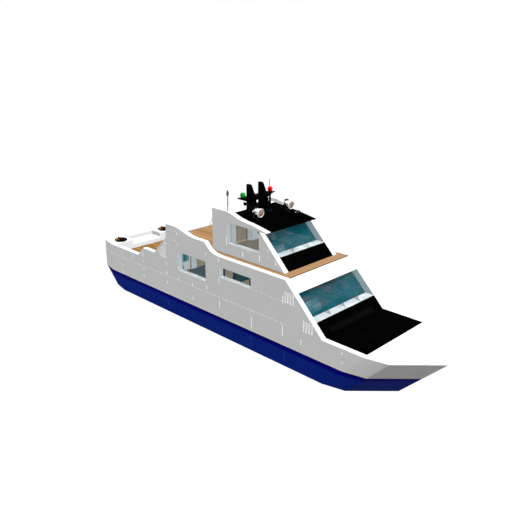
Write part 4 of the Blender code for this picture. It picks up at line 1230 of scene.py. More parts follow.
class HOUSEBOAT_OT_side_windows(bpy.types.Operator):
    """Side windows: a pale reveal lining each opening, a rubber gasket and a clear pane"""

    bl_idname = "houseboat.side_windows"
    bl_label = "Side Windows"

    def execute(self, context):
        for label, limits in WINDOWS.items():
            inner, outer = (CABIN_IN, CABIN_HALF) if label == "upper_window" else (WALL_IN, HALF_BEAM)
            for side in SIDES:
                self.window(side_name(label, side), limits, side, inner, outer)
        return {"FINISHED"}

    @staticmethod
    def window(name, limits, side, inner, outer):
        x0, x1, z0, z1 = limits
        skin, gap = 0.012, 0.0004
        low, high = band(side, inner + gap, outer - 0.012)
        reveal = Shape(f"{name}_reveal", "lining")
        reveal.use("sill").block((x0 + gap, low, z0 + gap), (x1 - gap, high, z0 + skin), 0.002)
        reveal.use("lining").block((x0 + gap, low, z1 - skin), (x1 - gap, high, z1 - gap), 0.002)
        reveal.block((x0 + gap, low, z0 + skin), (x0 + skin, high, z1 - skin), 0.002)
        reveal.block((x1 - skin, low, z0 + skin), (x1 - gap, high, z1 - skin), 0.002)
        reveal.done(slot="pale_panel")
        low, high = band(side, inner + 0.010, inner + 0.030)
        pane = Shape(f"{name}_pane", "side glass" if side < 0 else "deep glass")
        pane.block((x0 + skin, low, z0 + skin), (x1 - skin, high, z1 - skin), 0.0)
        pane.done(slot="tinted_glass", replaces=[name])
        if name.startswith("low_window"):
            bars = Shape(f"{name}_bars", "navy frame")
            for left, right in SLIDING_BARS:
                bars.block((left, low - 0.004, z0 + skin), (right, high + 0.004, z1 - skin), 0.003)
            left = SLIDING_BARS[1][0]
            bars.block((left, low - 0.003, z1 - 0.045), (x1 - skin, high + 0.003, z1 - skin), 0.003)
            bars.done(slot="black_plastic")
        y = side * (inner + 0.036)
        inset = skin + 0.005
        left, right, foot, head = x0 + inset, x1 - inset, z0 + inset, z1 - inset
        corners = [(left, y, foot), (right, y, foot), (right, y, head), (left, y, head), (left, y, foot)]
        grown("tube", f"{name}_gasket", [corners], "rubber", slot="black_plastic", radius=0.006, sides=6)


class HOUSEBOAT_OT_fronts(bpy.types.Operator):
    """Raked windshields with their gaskets, and the pale sills with plates of painted shadow on them"""

    bl_idname = "houseboat.fronts"
    bl_label = "Windshields and Sills"

    def execute(self, context):
        for name, front in (("lower", FRONT), ("upper", UPPER_FRONT)):
            shell(f"{name}_windshield", "front glass", "tinted_glass", 0.0, 0.0, ending="pane")
            shell(f"{name}_sill", "sill", "pale_panel", 0.010, 0.003, ending="moulding")
            self.gasket(name)
            self.cheeks(name, front)
        # Dark plates that stand for the shadows falling on the sills
        plates = Shape("demister_plates", "blue board")
        for z, corners in SILL_SHADOWS:
            plates.prism(corners, z + 0.0005, z + 0.004, "Z", 0.0)
        plates.done(slot="pale_panel")
        return {"FINISHED"}

    @staticmethod
    def cheeks(name, front):
        """Tinted panes that close the sides of the recess in front of the windshield."""
        low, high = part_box(f"{name}_windshield")
        deep, near = front - 0.54, front - 0.03
        z0, z1 = low.z + 0.02, high.z - 0.02
        points = [(deep - z0, z0), (near - z0, z0), (near - z1, z1), (deep - z1, z1)]
        cheek = Shape(f"{name}_windshield_cheeks", "cheek glass")
        for side in SIDES:
            cheek.prism(points, *band(side, high.y - 0.008, high.y - 0.002), "Y", 0.0)
        cheek.done(slot="tinted_glass")

    @staticmethod
    def gasket(name):
        low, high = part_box(f"{name}_windshield")
        # How far aft the outer face of the raked pane, 20 mm thick, lies from the inner one at one height
        glass = 0.02 * 2 ** 0.5
        half = high.y - 0.008
        x_low, x_high = high.x - 0.004, low.x + glass + 0.010
        foot, head = low.z + 0.008, high.z - 0.006
        corners = [(x_low, -half, foot), (x_low, half, foot), (x_high, half, head), (x_high, -half, head)]
        corners.append(corners[0])
        sizes = {"radius": 0.007, "sides": 6}
        grown("tube", f"{name}_windshield_gasket", [corners], "rubber", slot="black_plastic", **sizes)


# Mast, lights and horn

ROOF_LINE = ((-1.415, 6.45), (-0.415, 6.43), (0.385, 6.34), (1.385, 6.23), (2.425, 6.08))
# x and distance from the centreline of the globe lamps and of the posts under them
LAMP_X, LAMP_Y = -0.155, 0.985


def roof_z(x):
    """Height of the roof's top surface."""
    for (x0, z0), (x1, z1) in zip(ROOF_LINE, ROOF_LINE[1:]):
        if x <= x1:
            return z0 + (z1 - z0) * (x - x0) / (x1 - x0)
    return ROOF_LINE[-1][1]


class HOUSEBOAT_OT_mast(bpy.types.Operator):
    """Black mast: two raked fins, cross panels, the lamp shelf, the loudhailer and the post"""

    bl_idname = "houseboat.mast"
    bl_label = "Mast"

    def execute(self, context):
        mast = Shape("mast_frame", "enamel")
        fin = [(x, roof_z(x) + 0.001) for x in (-0.415, 0.385, 0.405)]
        fin += [(0.075, 7.30), (-0.155, 7.74), (-0.415, 7.74)]
        foot = roof_z(-0.44)
        for side in SIDES:
            mast.prism(fin, *band(side, 0.35, 0.49), "Y", 0.022, 3)
            low, high = band(side, 0.33, 0.515)
            mast.block((-0.44, low, foot + 0.001), (0.43, high, foot + 0.012), 0.004, turn=self.lying())
            bracket = ((0.42, 6.84), (0.49, 6.84), (1.19, 7.108), (1.19, 7.14), (0.42, 7.14))
            mast.prism([(side * y, z) for y, z in bracket], -0.24, -0.07, "X", 0.006)
        mast.block((-0.395, -0.42, 6.92), (0.005, 0.42, 7.15), 0.02, 3)
        mast.block((-0.395, -0.42, roof_z(-0.395) + 0.008), (0.005, 0.42, 6.66), 0.02, 3)
        mast.block((-0.335, -1.20, 7.12), (0.010, 1.20, 7.16), 0.008, 3)
        self.loudhailer(mast)
        self.post(mast)
        mast.done(slot="black_paint", replaces=["mast"])
        points = []
        for side in SIDES:
            for x in (-0.40, -0.20, 0.0, 0.20, 0.38):
                points += [[(x, side * y, roof_z(x) + 0.014)] for y in (0.34, 0.505)]
        ways = [(0.0, 0.0, 1.0)] * len(points)
        head = {"slot": "stainless_steel", "facing": ways, "radius": 0.009, "height": 0.006, "sides": 6}
        grown("fastener", "mast_foot_bolts", points, "polished", **head)
        return {"FINISHED"}

    @staticmethod
    def lying():
        """Tips a foot plate to the fall of the roof."""
        fall = (roof_z(-0.415) - roof_z(0.385)) / 0.8
        spot = Vector((-0.44, 0, roof_z(-0.44)))
        return Matrix.Translation(spot) @ Matrix.Rotation(fall, 4, "Y") @ Matrix.Translation(-spot)

    @staticmethod
    def loudhailer(mast):
        shape = [(0.0, 0.075), (0.07, 0.075), (0.09, 0.045), (0.15, 0.05), (0.22, 0.07), (0.27, 0.10)]
        shape += [(0.288, 0.108), (0.288, 0.098), (0.25, 0.07), (0.20, 0.045), (0.18, 0.0)]
        mast.use("plastic").lathe(shape, (-0.29, -0.43, 6.77), "Y", 24)
        mast.block((-0.32, -0.46, 6.84), (-0.26, -0.43, 6.93), 0.004)
        mast.use("enamel")

    @staticmethod
    def post(mast):
        x, y = LAMP_X, LAMP_Y
        foot = roof_z(x - 0.09) + 0.001
        shape = [(0, 0), (0, 0.088), (0.016, 0.09), (0.03, 0.06), (0.09, 0.055), (0.14, 0.034), (0.15, 0)]
        mast.lathe(shape, (x, y, foot), "Z", 20)
        mast.rod((x, y, foot + 0.1), (x, y, 7.13), 0.054, sides=16)
        x, y = -0.295, 1.10
        mast.use("plastic").rod((x, y, 7.15), (x, y, 7.82), 0.018, 0.013, sides=8)
        mast.lathe([(0, 0), (0, 0.024), (0.05, 0.018), (0.07, 0.0)], (x, y, 7.158), "Z", 14)


class HOUSEBOAT_OT_sidelights(bpy.types.Operator):
    """Green and red globe lamps on the mast shelf"""

    bl_idname = "houseboat.sidelights"
    bl_label = "Sidelights"

    def execute(self, context):
        radius, rings = 0.139, 24
        globe = [(0.0, 0.0)]
        for step in range(1, rings):
            turn = pi * step / rings
            ridge = 0.0018 * (-1) ** step
            globe.append((radius - radius * cos(turn), (radius + ridge) * sin(turn)))
        globe.append((2 * radius, 0.0))
        collar = [(0, 0), (0, 0.095), (0.018, 0.10), (0.030, 0.086), (0.030, 0)]
        for side, colour in ((-1, "green"), (1, "red")):
            lamp = Shape(f"sidelight_{colour}_globe", f"{colour} lens")
            y = side * LAMP_Y
            lamp.lathe(globe, (LAMP_X, y, 7.1615), "Z", 32)
            lamp.use("plastic").lathe(collar, (LAMP_X, y, 7.1605), "Z", 28)
            lamp.done(slot=f"{colour}_lens", replaces=[f"sidelight_{colour}"])
        return {"FINISHED"}


class HOUSEBOAT_OT_antenna(bpy.types.Operator):
    """Rod antenna with its oval head on the starboard roof rail"""

    bl_idname = "houseboat.antenna"
    bl_label = "Antenna"

    def execute(self, context):
        x, y, z = -0.33, -1.85, 6.6305
        rod = Shape("antenna_rod", "grey fibreglass")
        foot = [(0, 0), (0, 0.045), (0.008, 0.045), (0.014, 0.030), (0.05, 0.024), (0.06, 0)]
        rod.lathe(foot, (x, y, z), "Z", 20)
        rod.rod((x, y, z + 0.04), (x, y, 7.37), 0.026, 0.022, sides=14)
        bulb = [(0, 0), (0, 0.018), (0.03, 0.040), (0.07, 0.056), (0.12, 0.062), (0.17, 0.061), (0.22, 0.053)]
        bulb += [(0.26, 0.040), (0.29, 0.022), (0.30, 0.012), (0.30, 0)]
        rod.lathe(bulb, (x, y, 7.36), "Z", 24)
        # The tip's glow is a painted highlight
        rod.use("clear lens").lathe([(0, 0), (0, 0.011), (0.06, 0.009), (0.08, 0)], (x, y, 7.659), "Z", 12)
        rod.done(slot="stainless_steel", replaces=["antenna"])
        return {"FINISHED"}


SEARCHLIGHT_X, SEARCHLIGHT_Y = 1.005, 1.11


class HOUSEBOAT_OT_searchlights(bpy.types.Operator):
    """Two searchlights in yokes, each turning on its stem over a fixed flange"""

    bl_idname = "houseboat.searchlights"
    bl_label = "Searchlights"

    def execute(self, context):
        for side in SIDES:
            self.lamp(side)
        flange = Shape("searchlight_flanges", "enamel")
        base = roof_z(SEARCHLIGHT_X + 0.12) - 0.01
        ring = [(0, 0.075), (0, 0.125), (0.022, 0.125), (0.030, 0.115), (0.030, 0.075)]
        for side in SIDES:
            flange.lathe(ring, (SEARCHLIGHT_X, side * SEARCHLIGHT_Y, base), "Z", 28)
        flange.done(slot="black_plastic")
        return {"FINISHED"}

    @staticmethod
    def lamp(side):
        name = side_name("searchlight", side)
        x, y, z = centre = (SEARCHLIGHT_X, side * SEARCHLIGHT_Y, 6.66)
        lamp = Shape(f"{name}_lamp", "chrome")
        drum = [(-0.24, 0), (-0.24, 0.085), (-0.225, 0.11), (-0.20, 0.155), (-0.15, 0.180), (-0.08, 0.20)]
        for step in range(5):
            start = -0.06 + step * 0.045
            drum += [(start, 0.2), (start + 0.006, 0.207), (start + 0.02, 0.207), (start + 0.026, 0.2)]
        lamp.lathe([*drum, (0.185, 0.203), (0.185, 0)], centre, "X", 36)
        rim = [(0.17, 0.19), (0.17, 0.212), (0.185, 0.22), (0.225, 0.22), (0.24, 0.208), (0.24, 0.188)]
        lamp.use("gelcoat").lathe([*rim, (0.215, 0.184)], centre, "X", 36)
        lens = [(0.20, 0), (0.20, 0.187), (0.216, 0.187), (0.226, 0.12), (0.231, 0.06), (0.232, 0)]
        lamp.use("reflector").lathe(lens, centre, "X", 36)
        lamp.use("plastic")
        outer = [(-0.262, 0.07), (-0.262, -0.20), (-0.20, -0.262)]
        inner = [(0.238, 0.07), (0.238, -0.19), (0.19, -0.238)]
        yoke = []
        for half in (outer, inner):
            yoke += half + [(-across, up) for across, up in reversed(half)]
        lamp.prism([(y + across, z + up) for across, up in yoke], x - 0.05, x + 0.05, "X", 0.005)
        knob = [(0, 0), (0, 0.036), (0.012, 0.04), (0.03, 0.04), (0.036, 0.034), (0.036, 0)]
        for start in (-0.261, 0.225):
            lamp.lathe(knob, (x, y + start, z), "Y", 16)
        pivot = roof_z(x) + 0.012
        top = z - 0.25 - pivot
        stem = [(0, 0), (0, 0.058), (0.02, 0.06), (0.05, 0.05), (top, 0.05), (top, 0)]
        lamp.lathe(stem, (x, y, pivot), "Z", 20)
        handle = ((-0.200, 0.150), (-0.175, 0.150), (-0.175, 0.220), (-0.160, 0.232), (-0.055, 0.232))
        handle += ((-0.040, 0.220), (-0.040, 0.190), (-0.015, 0.190), (-0.015, 0.232), (-0.045, 0.257))
        handle += ((-0.170, 0.257), (-0.200, 0.232))
        lamp.prism([(x + along, z + up) for along, up in handle], y - 0.06, y + 0.06, "Y", 0.003)
        lamp.done(name, slot="chrome", replaces=[name])


class HOUSEBOAT_OT_horn(bpy.types.Operator):
    """Twin air horn on its bar at the port edge of the roof"""

    bl_idname = "houseboat.horn"
    bl_label = "Horn"

    def execute(self, context):
        horn = Shape("horn_pair", "plastic")
        x, foot = 1.38, roof_z(1.33) + 0.0005
        horn.block((x - 0.05, 1.17, foot), (x + 0.03, 1.63, foot + 0.03), 0.006)
        horn.block((x - 0.05, 1.17, foot + 0.02), (x + 0.01, 1.25, foot + 0.125), 0.01)
        shape = [(-0.04, 0), (-0.04, 0.034), (-0.02, 0.034), (-0.015, 0.014), (0.02, 0.018), (0.045, 0.03)]
        shape += [(0.058, 0.042), (0.060, 0.042), (0.050, 0.028), (0.03, 0.0)]
        for y in (1.36, 1.53):
            horn.lathe(shape, (x, y, foot + 0.075), "X", 20)
            horn.block((x - 0.03, y - 0.012, foot + 0.02), (x - 0.012, y + 0.012, foot + 0.06), 0.003)
        horn.use("gelcoat")
        for low, high in ((1.262, 1.30), (1.44, 1.475)):
            horn.block((x - 0.045, low, foot + 0.028), (x + 0.02, high, foot + 0.05), 0.003)
        horn.done(slot="black_plastic", replaces=["horn"])
        return {"FINISHED"}


# Stern

class HOUSEBOAT_OT_stern(bpy.types.Operator):
    """Stern bench, its round lamp clusters, and the outlets in the transom"""

    bl_idname = "houseboat.stern"
    bl_label = "Stern"

    def execute(self, context):
        def at_foot(spot):
            return spot.z < DECK_Z + 0.02

        radius = setting("paint.edge_radius")
        shell("stern_bench", "gelcoat", "white_paint", radius, 0.006, at_foot, ending="moulding")
        for side in SIDES:
            self.lamp(side)
        fittings = Shape("transom_outlets", "brushed")
        shape = [(-0.003, 0.055), (-0.003, 0.085), (0.004, 0.09), (0.02, 0.09), (0.02, 0.055)]
        plug = [(0.006, 0), (0.006, 0.057), (0.018, 0.057), (0.018, 0)]
        for y in (-1.45, 1.45):
            fittings.use("brushed").lathe(shape, (STERN_X, y, 1.36), "X", 28)
            fittings.use("rubber").lathe(plug, (STERN_X, y, 1.36), "X", 24)
        fittings.use("brushed")
        for y in (-0.7, 0.0, 0.7):
            fittings.block((STERN_X - 0.003, y - 0.09, 2.165), (STERN_X + 0.01, y + 0.09, 2.215), 0.003)
        fittings.done(slot="stainless_steel")
        return {"FINISHED"}

    @staticmethod
    def lamp(side):
        name = side_name("stern_lamp", side)
        x, y, foot = -10.47, side * 1.66, 2.7605

        def spot(degrees, reach, rise):
            return x + reach * cos(radians(degrees)), y + reach * sin(radians(degrees)), foot + rise

        lamp = Shape(f"{name}_cluster", "enamel")
        dome = [(0, 0), (0, 0.388), (0.03, 0.39), (0.055, 0.382), (0.085, 0.35), (0.108, 0.29), (0.125, 0.20)]
        lamp.lathe([*dome, (0.135, 0.10), (0.138, 0)], (x, y, foot), "Z", 40)
        lens = [(0, 0), (0, 0.056), (0.02, 0.053), (0.030, 0.038), (0.034, 0.018), (0.035, 0)]
        for number, colour in enumerate(("orange", "red", "yellow", "red", "orange", "yellow", "orange")):
            reach, rise = (0.335, 0.062) if number % 2 else (0.255, 0.092)
            lamp.use(f"{colour} lens").lathe(lens, spot(168 + number * 20, reach, rise), "Z", 16)
        lamp.use("plastic")
        cap = [(0, 0), (0.005, 0.03), (0.03, 0.05), (0.06, 0.05), (0.085, 0.03), (0.09, 0)]
        for degrees in (172, 262):
            lamp.lathe(cap, spot(degrees, 0.33, 0.07), "Z", 16)
        lamp.done(slot="black_plastic", replaces=[name])


# Bulkheads, doors and the ladder

class HOUSEBOAT_OT_bulkheads(bpy.types.Operator):
    """After bulkheads of the saloon and the upper cabin, with their boards inside"""

    bl_idname = "houseboat.bulkheads"
    bl_label = "Bulkheads"

    def execute(self, context):
        def indoors(centre, normal):
            return normal.x > 0.5 or abs(normal.y) > 0.5 or (normal.z > 0.5 and centre.z < 4.6)

        for name in ("saloon_bulkhead", "cabin_bulkhead"):
            shell(name, "gelcoat", "white_paint", 0.006, 0.003, lined=indoors, lined_finish="veneer")
        face, foot, head = -4.594, 2.16, 4.13
        pale = Shape("saloon_end_boards", "lining")
        pale.block((face, -2.205, foot), (face + 0.010, -1.66, head), 0.002)
        pale.block((face, -0.84, foot), (face + 0.010, -0.452, head), 0.002)
        pale.block((face, -1.658, 4.03), (face + 0.010, -0.842, head), 0.002)
        pale.use("veneer").block((face, -0.45, foot), (face + 0.010, 2.205, head), 0.002)
        pale.done(slot="pale_panel")
        face, head = -1.294, 6.30
        brown = Shape("cabin_end_boards", "veneer")
        for y0, y1, foot in ((-1.645, -0.41, 4.36), (0.41, 0.455, 4.36), (-0.408, 0.408, 6.16)):
            brown.block((face, y0, foot), (face + 0.004, y1, head), 0.001)
        brown.done(slot="brown_panel")
        return {"FINISHED"}


class HOUSEBOAT_OT_doors(bpy.types.Operator):
    """Saloon and cabin doors: leaf, glazing, handles and hinges, each turning with its door"""

    bl_idname = "houseboat.doors"
    bl_label = "Doors"

    def execute(self, context):
        self.door("saloon_door", (-1.51, -0.99, 2.72, 3.86), -1.23, "lining")
        self.door("cabin_door", (-0.24, 0.24, 5.45, 6.02), None, "veneer")
        frames = Shape("door_frames", "brushed")
        self.frame(frames, "saloon_door")
        self.frame(frames, "cabin_door")
        frames.done(slot="stainless_steel")
        return {"FINISHED"}

    @staticmethod
    def frame(shape, name):
        """A flat architrave on the after face of the bulkhead, clear of the leaf."""
        low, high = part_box(name)
        near, far = low.x - 0.016, low.x - 0.0104
        gap, wide = 0.008, 0.050
        y0, y1, y2 = low.y - gap, high.y + gap, high.y + gap + 0.010
        foot, top, head = low.z - 0.05, high.z + gap, high.z + gap + wide
        shape.block((near, y0 - wide, foot), (far, y0, head), 0.002)
        shape.block((near, y2, foot), (far, y1 + wide + gap, head), 0.002)
        shape.block((near, y0, top), (far, y2, head), 0.002)

    @staticmethod
    def door(name, light, mullion, inside):
        low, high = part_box(name)
        y0, y1, z0, z1 = light
        leaf = Shape(f"{name}_leaf", "gelcoat")
        leaf.node(name, 0.004, 0.002, lined=lambda centre, normal: normal.x > 0.5, lined_finish=inside)
        leaf.use("rubber")
        rim = 0.022
        leaf.surround(low.x - 0.004, low.x, light, rim)
        leaf.surround(high.x, high.x + 0.004, light, rim)
        leaf.use(inside)
        near, far = high.x + 0.0002, high.x + 0.003
        foot, head = low.z + 0.03, high.z - 0.03
        leaf.block((near, low.y + 0.02, foot), (far, y0 - rim, head), 0.001)
        leaf.block((near, y1 + rim, foot), (far, high.y - 0.02, head), 0.001)
        leaf.block((near, y0 - rim, foot), (far, y1 + rim, z0 - rim), 0.001)
        leaf.use("polished")
        middle_z = (low.z + high.z) / 2
        y, z = low.y + 0.065, middle_z - 0.1
        for way, face in ((-1, low.x), (1, high.x)):
            near, far = sorted((face, face + way * 0.004))
            leaf.block((near, y - 0.022, z - 0.09), (far, y + 0.022, z + 0.09), 0.0015)
            grip = face + way * 0.045
            leaf.rod((face, y, z + 0.03), (grip, y, z + 0.03), 0.009, sides=10)
            leaf.rod((grip, y - 0.008, z + 0.03), (grip, y + 0.12, z + 0.03), 0.009, sides=10)
        # Hinges: the barrels stand on the joint's own axis, thin enough to clear the frame at every angle
        x, y = low.x, high.y
        for z in (low.z + 0.22, middle_z, high.z - 0.22):
            leaf.rod((x, y, z - 0.05), (x, y, z + 0.05), 0.0036, sides=10)
            leaf.block((x - 0.001, y - 0.05, z - 0.045), (x + 0.001, y - 0.002, z + 0.045), 0.0004)
        if mullion:
            near, far = low.x + 0.004, high.x - 0.004
            leaf.use("rubber").block((near, mullion - 0.022, z0), (far, mullion + 0.022, z1), 0.002)
        leaf.done(name, slot="pale_panel", replaces=[name])
        glass = Shape(f"{name}_pane", "deep glass")
        middle = (low.x + high.x) / 2
        glass.block((middle - 0.006, y0, z0), (middle + 0.006, y1, z1), 0.0)
        glass.done(name, slot="tinted_glass")


class HOUSEBOAT_OT_ladder(bpy.types.Operator):
    """Companion ladder from the cockpit to the upper deck, with teak on its treads"""

    bl_idname = "houseboat.ladder"
    bl_label = "Ladder"

    def execute(self, context):
        ladder = Shape("ladder_frame", "brushed")
        ladder.node("ladder", 0.005, 0.003)
        ladder.use("cockpit teak")
        foot, head = Vector((-5.665, 0, 2.1903)), Vector((-4.775, 0, 4.39))
        treads = 7
        for step in range(treads):
            x, _, z = foot.lerp(head, (step + 1) / (treads + 1))
            ladder.block((x + 0.010, 1.10, z - 0.002), (x + 0.130, 1.60, z + 0.008), 0.003)
        ladder.done(slot="stainless_steel", replaces=["ladder"])
        rail = ((-5.50, 2.60), (-5.62, 2.92), (-5.60, 3.05), (-4.94, 4.68), (-4.86, 4.74), (-4.74, 4.74))
        rail += ((-4.70, 4.70), (-4.70, 4.392))
        lines = [[(x, y, z) for x, z in rail] for y in (1.07, 1.63)]
        grown("tube", "ladder_handrails", lines, "polished", slot="stainless_steel", radius=0.016, sides=10)
        x, z = -4.760, 4.401
        edge = [[(x, -2.20, z), (x, 1.02, z)], [(x, 1.68, z), (x, 2.20, z)]]
        sizes = {"radius": 0.010, "sides": 8}
        grown("tube", "upper_deck_edge_strip", edge, "front glass", slot="tinted_glass", **sizes)
        return {"FINISHED"}


# Running gear and engines

STOCK_X, SHAFT_Z = -11.195, 0.30


class HOUSEBOAT_OT_running_gear(bpy.types.Operator):
    """Propellers with twisted blades, their shafts and glands, and the foil-section rudders"""

    bl_idname = "houseboat.running_gear"
    bl_label = "Running Gear"

    def execute(self, context):
        glands = Shape("shaft_glands", "bronze")
        for side in SIDES:
            y = side * 1.15
            self.propeller(side_name("propeller", side), y, side)
            self.rudder(side_name("rudder", side), y)
            shaft = [(0, 0), (0, 0.048), (0.02, 0.055), (0.07, 0.06), (0.07, 0)]
            glands.lathe(shaft, (-10.634, y, SHAFT_Z), "X", 24)
            stock = [(0, 0), (0, 0.045), (0.03, 0.05), (0.06, 0.05), (0.06, 0)]
            glands.lathe(stock, (STOCK_X, y, 0.868), "Z", 24)
        glands.done(slot="bronze")
        return {"FINISHED"}

    @staticmethod
    def propeller(name, y, side):
        wheel = Shape(f"{name}_wheel", "bronze")
        x, z, blades = -10.975, SHAFT_Z, 3
        hub = [(-0.125, 0), (-0.12, 0.012), (-0.09, 0.026), (-0.082, 0.026), (-0.08, 0.04), (-0.04, 0.052)]
        wheel.lathe([*hub, (0.0, 0.056), (0.075, 0.056), (0.08, 0.05), (0.08, 0)], (x, y, z), "X", 28)
        for blade in range(blades):
            turn = Matrix.Translation((x, y, z)) @ Matrix.Rotation(blade * 2 * pi / blades, 4, "X")
            wheel.take(propeller_blade(side), turn=turn)
        wheel.use("polished").rod((x + 0.05, y, z), (-10.642, y, z), 0.024, sides=18)
        wheel.done(name, slot="bronze", replaces=[name])

    @staticmethod
    def rudder(name, y):
        nose, chord, half = -11.125, 0.23, 0.036
        foil = []
        for step in range(9):
            at = step / 8
            rise = 1.48 * at ** 0.5 - 0.63 * at - 1.76 * at ** 2 + 1.42 * at ** 3 - 0.50 * at ** 4
            foil.append((nose - chord * at, half * rise))
        outline = [(x, y + rise) for x, rise in foil]
        outline += [(x, y - rise) for x, rise in reversed(foil[1:-1])]
        rudder = Shape(f"{name}_blade", "brushed")
        rudder.prism(outline, 0.08, 0.62, "Z", 0.0)
        rudder.rod((STOCK_X, y, 0.50), (STOCK_X, y, 0.86), 0.028, sides=18)
        rudder.lathe([(0, 0), (0, 0.04), (0.02, 0.04), (0.03, 0.03), (0.03, 0)], (STOCK_X, y, 0.615), "Z", 20)
        rudder.done(name, slot="stainless_steel", replaces=[name])


def propeller_blade(side):
    """One blade about the X axis, rising along +Z: elliptic, twisted to a constant pitch."""
    bm = bmesh.new()
    spans, chords = 9, 8
    pitch, root, tip = 0.30, 0.045, 0.238
    skins = []
    for skin in (1, -1):
        grid = []
        for row in range(spans):
            share = row / (spans - 1)
            radius = root + (tip - root) * share
            width = 0.155 * (0.55 + 0.75 * share - 1.08 * share ** 3)
            angle = min(radians(62), (pitch / (2 * pi * radius)) / (1 + 0.2 * pitch / radius))
            line = []
            for column in range(chords):
                spot = 2 * column / (chords - 1) - 1
                thick = 0.007 * (1 - 0.75 * share) * (1 - spot ** 2) * skin
                along = spot * width / 2
                x = along * sin(angle) + thick * cos(angle)
                y = side * (along * cos(angle) - thick * sin(angle))
                line.append(bm.verts.new((x, y, radius - 0.012 * spot ** 2)))
            grid.append(line)
        skins.append(grid)
    front, back = skins
    for row in range(spans - 1):
        for at in range(chords - 1):
            bm.faces.new((front[row][at], front[row][at + 1], front[row + 1][at + 1], front[row + 1][at]))
            bm.faces.new((back[row][at + 1], back[row][at], back[row + 1][at], back[row + 1][at + 1]))
    rim_front, rim_back = [
        grid[0] + [line[-1] for line in grid[1:]] + grid[-1][-2::-1] + [line[0] for line in grid[-2:0:-1]]
        for grid in skins
    ]
    count = len(rim_front)
    for at in range(count):
        after = (at + 1) % count
        bm.faces.new((rim_front[after], rim_front[at], rim_back[at], rim_back[after]))
    bmesh.ops.remove_doubles(bm, verts=bm.verts, dist=0.00002)
    return bm


class HOUSEBOAT_OT_engines(bpy.types.Operator):
    """Two diesel engines in the well under the hatch"""

    bl_idname = "houseboat.engines"
    bl_label = "Engines"

    def execute(self, context):
        for side in SIDES:
            self.engine(side_name("engine", side))
        return {"FINISHED"}

    @staticmethod
    def engine(name):
        low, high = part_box(name)
        y, z = (low.y + high.y) / 2, low.z
        aft, fore = low.x, high.x
        block = Shape(f"{name}_block", "engine")
        block.block((aft + 0.12, y - 0.16, z), (fore - 0.16, y + 0.16, z + 0.16), 0.02)
        block.block((aft + 0.06, y - 0.22, z + 0.14), (fore - 0.12, y + 0.22, z + 0.48), 0.018)
        for number in range(3):
            x = aft + 0.14 + number * 0.29
            block.block((x, y - 0.15, z + 0.47), (x + 0.24, y + 0.15, z + 0.64), 0.02)
            block.lathe([(0, 0), (0, 0.03), (0.02, 0.03), (0.02, 0)], (x + 0.12, y, z + 0.64), "Z", 16)
        block.use("brushed")
        block.rod((aft + 0.12, y + 0.2, z + 0.58), (fore - 0.2, y + 0.2, z + 0.58), 0.045, sides=16)
        block.use("plastic")
        pulley = [(0, 0), (0, 0.13), (0.03, 0.13), (0.04, 0.11), (0.05, 0.13), (0.08, 0.13), (0.08, 0)]
        block.lathe(pulley, (fore - 0.12, y, z + 0.26), "X", 28)
        block.lathe([(0, 0), (0, 0.07), (0.05, 0.07), (0.05, 0)], (fore - 0.12, y + 0.17, z + 0.50), "X", 24)
        block.use("rubber")
        for x in (aft + 0.16, fore - 0.28):
            for foot in (low.y + 0.02, high.y - 0.10):
                block.block((x, foot, z), (x + 0.12, foot + 0.08, z + 0.07), 0.01)
        block.done(slot="engine_grey", replaces=[name])


# Cabins

class HOUSEBOAT_OT_floors(bpy.types.Operator):
    """Carpet, cabin sole and ceilings inside both cabins"""

    bl_idname = "houseboat.floors"
    bl_label = "Floors and Ceilings"

    def execute(self, context):
        half = 2.204
        carpet = Shape("saloon_carpet", "carpet")
        ceiling = Shape("saloon_ceiling", "lining")
        for x0, x1, ceiling_x in ((-4.582, -0.62, -0.62), (-0.51, 5.22, 3.70)):
            carpet.block((x0, -half, DECK_Z + 0.001), (x1, half, DECK_Z + 0.012), 0.002)
            ceiling.block((x0, -half, 4.133), (ceiling_x, half, 4.142), 0.001)
        carpet.done(slot="brown_panel")
        rug = Shape("forward_rug", "upholstery")
        rug.block((2.75, -0.75, DECK_Z + 0.013), (4.12, 1.15, DECK_Z + 0.030), 0.008)
        rug.done(slot="red_fabric")
        ceiling.done(slot="pale_panel")
        boards = []
        z = UPPER_Z - 0.038
        for number in range(18):
            y = -1.645 + 0.183 * (number + 0.5)
            boards.append([(-1.285, y, z), (2.40, y, z)])
        sizes = {"width": 0.176, "depth": 0.010}
        grown("strip", "cabin_sole_boards", boards, "floor veneer", slot="brown_panel", **sizes)
        return {"FINISHED"}


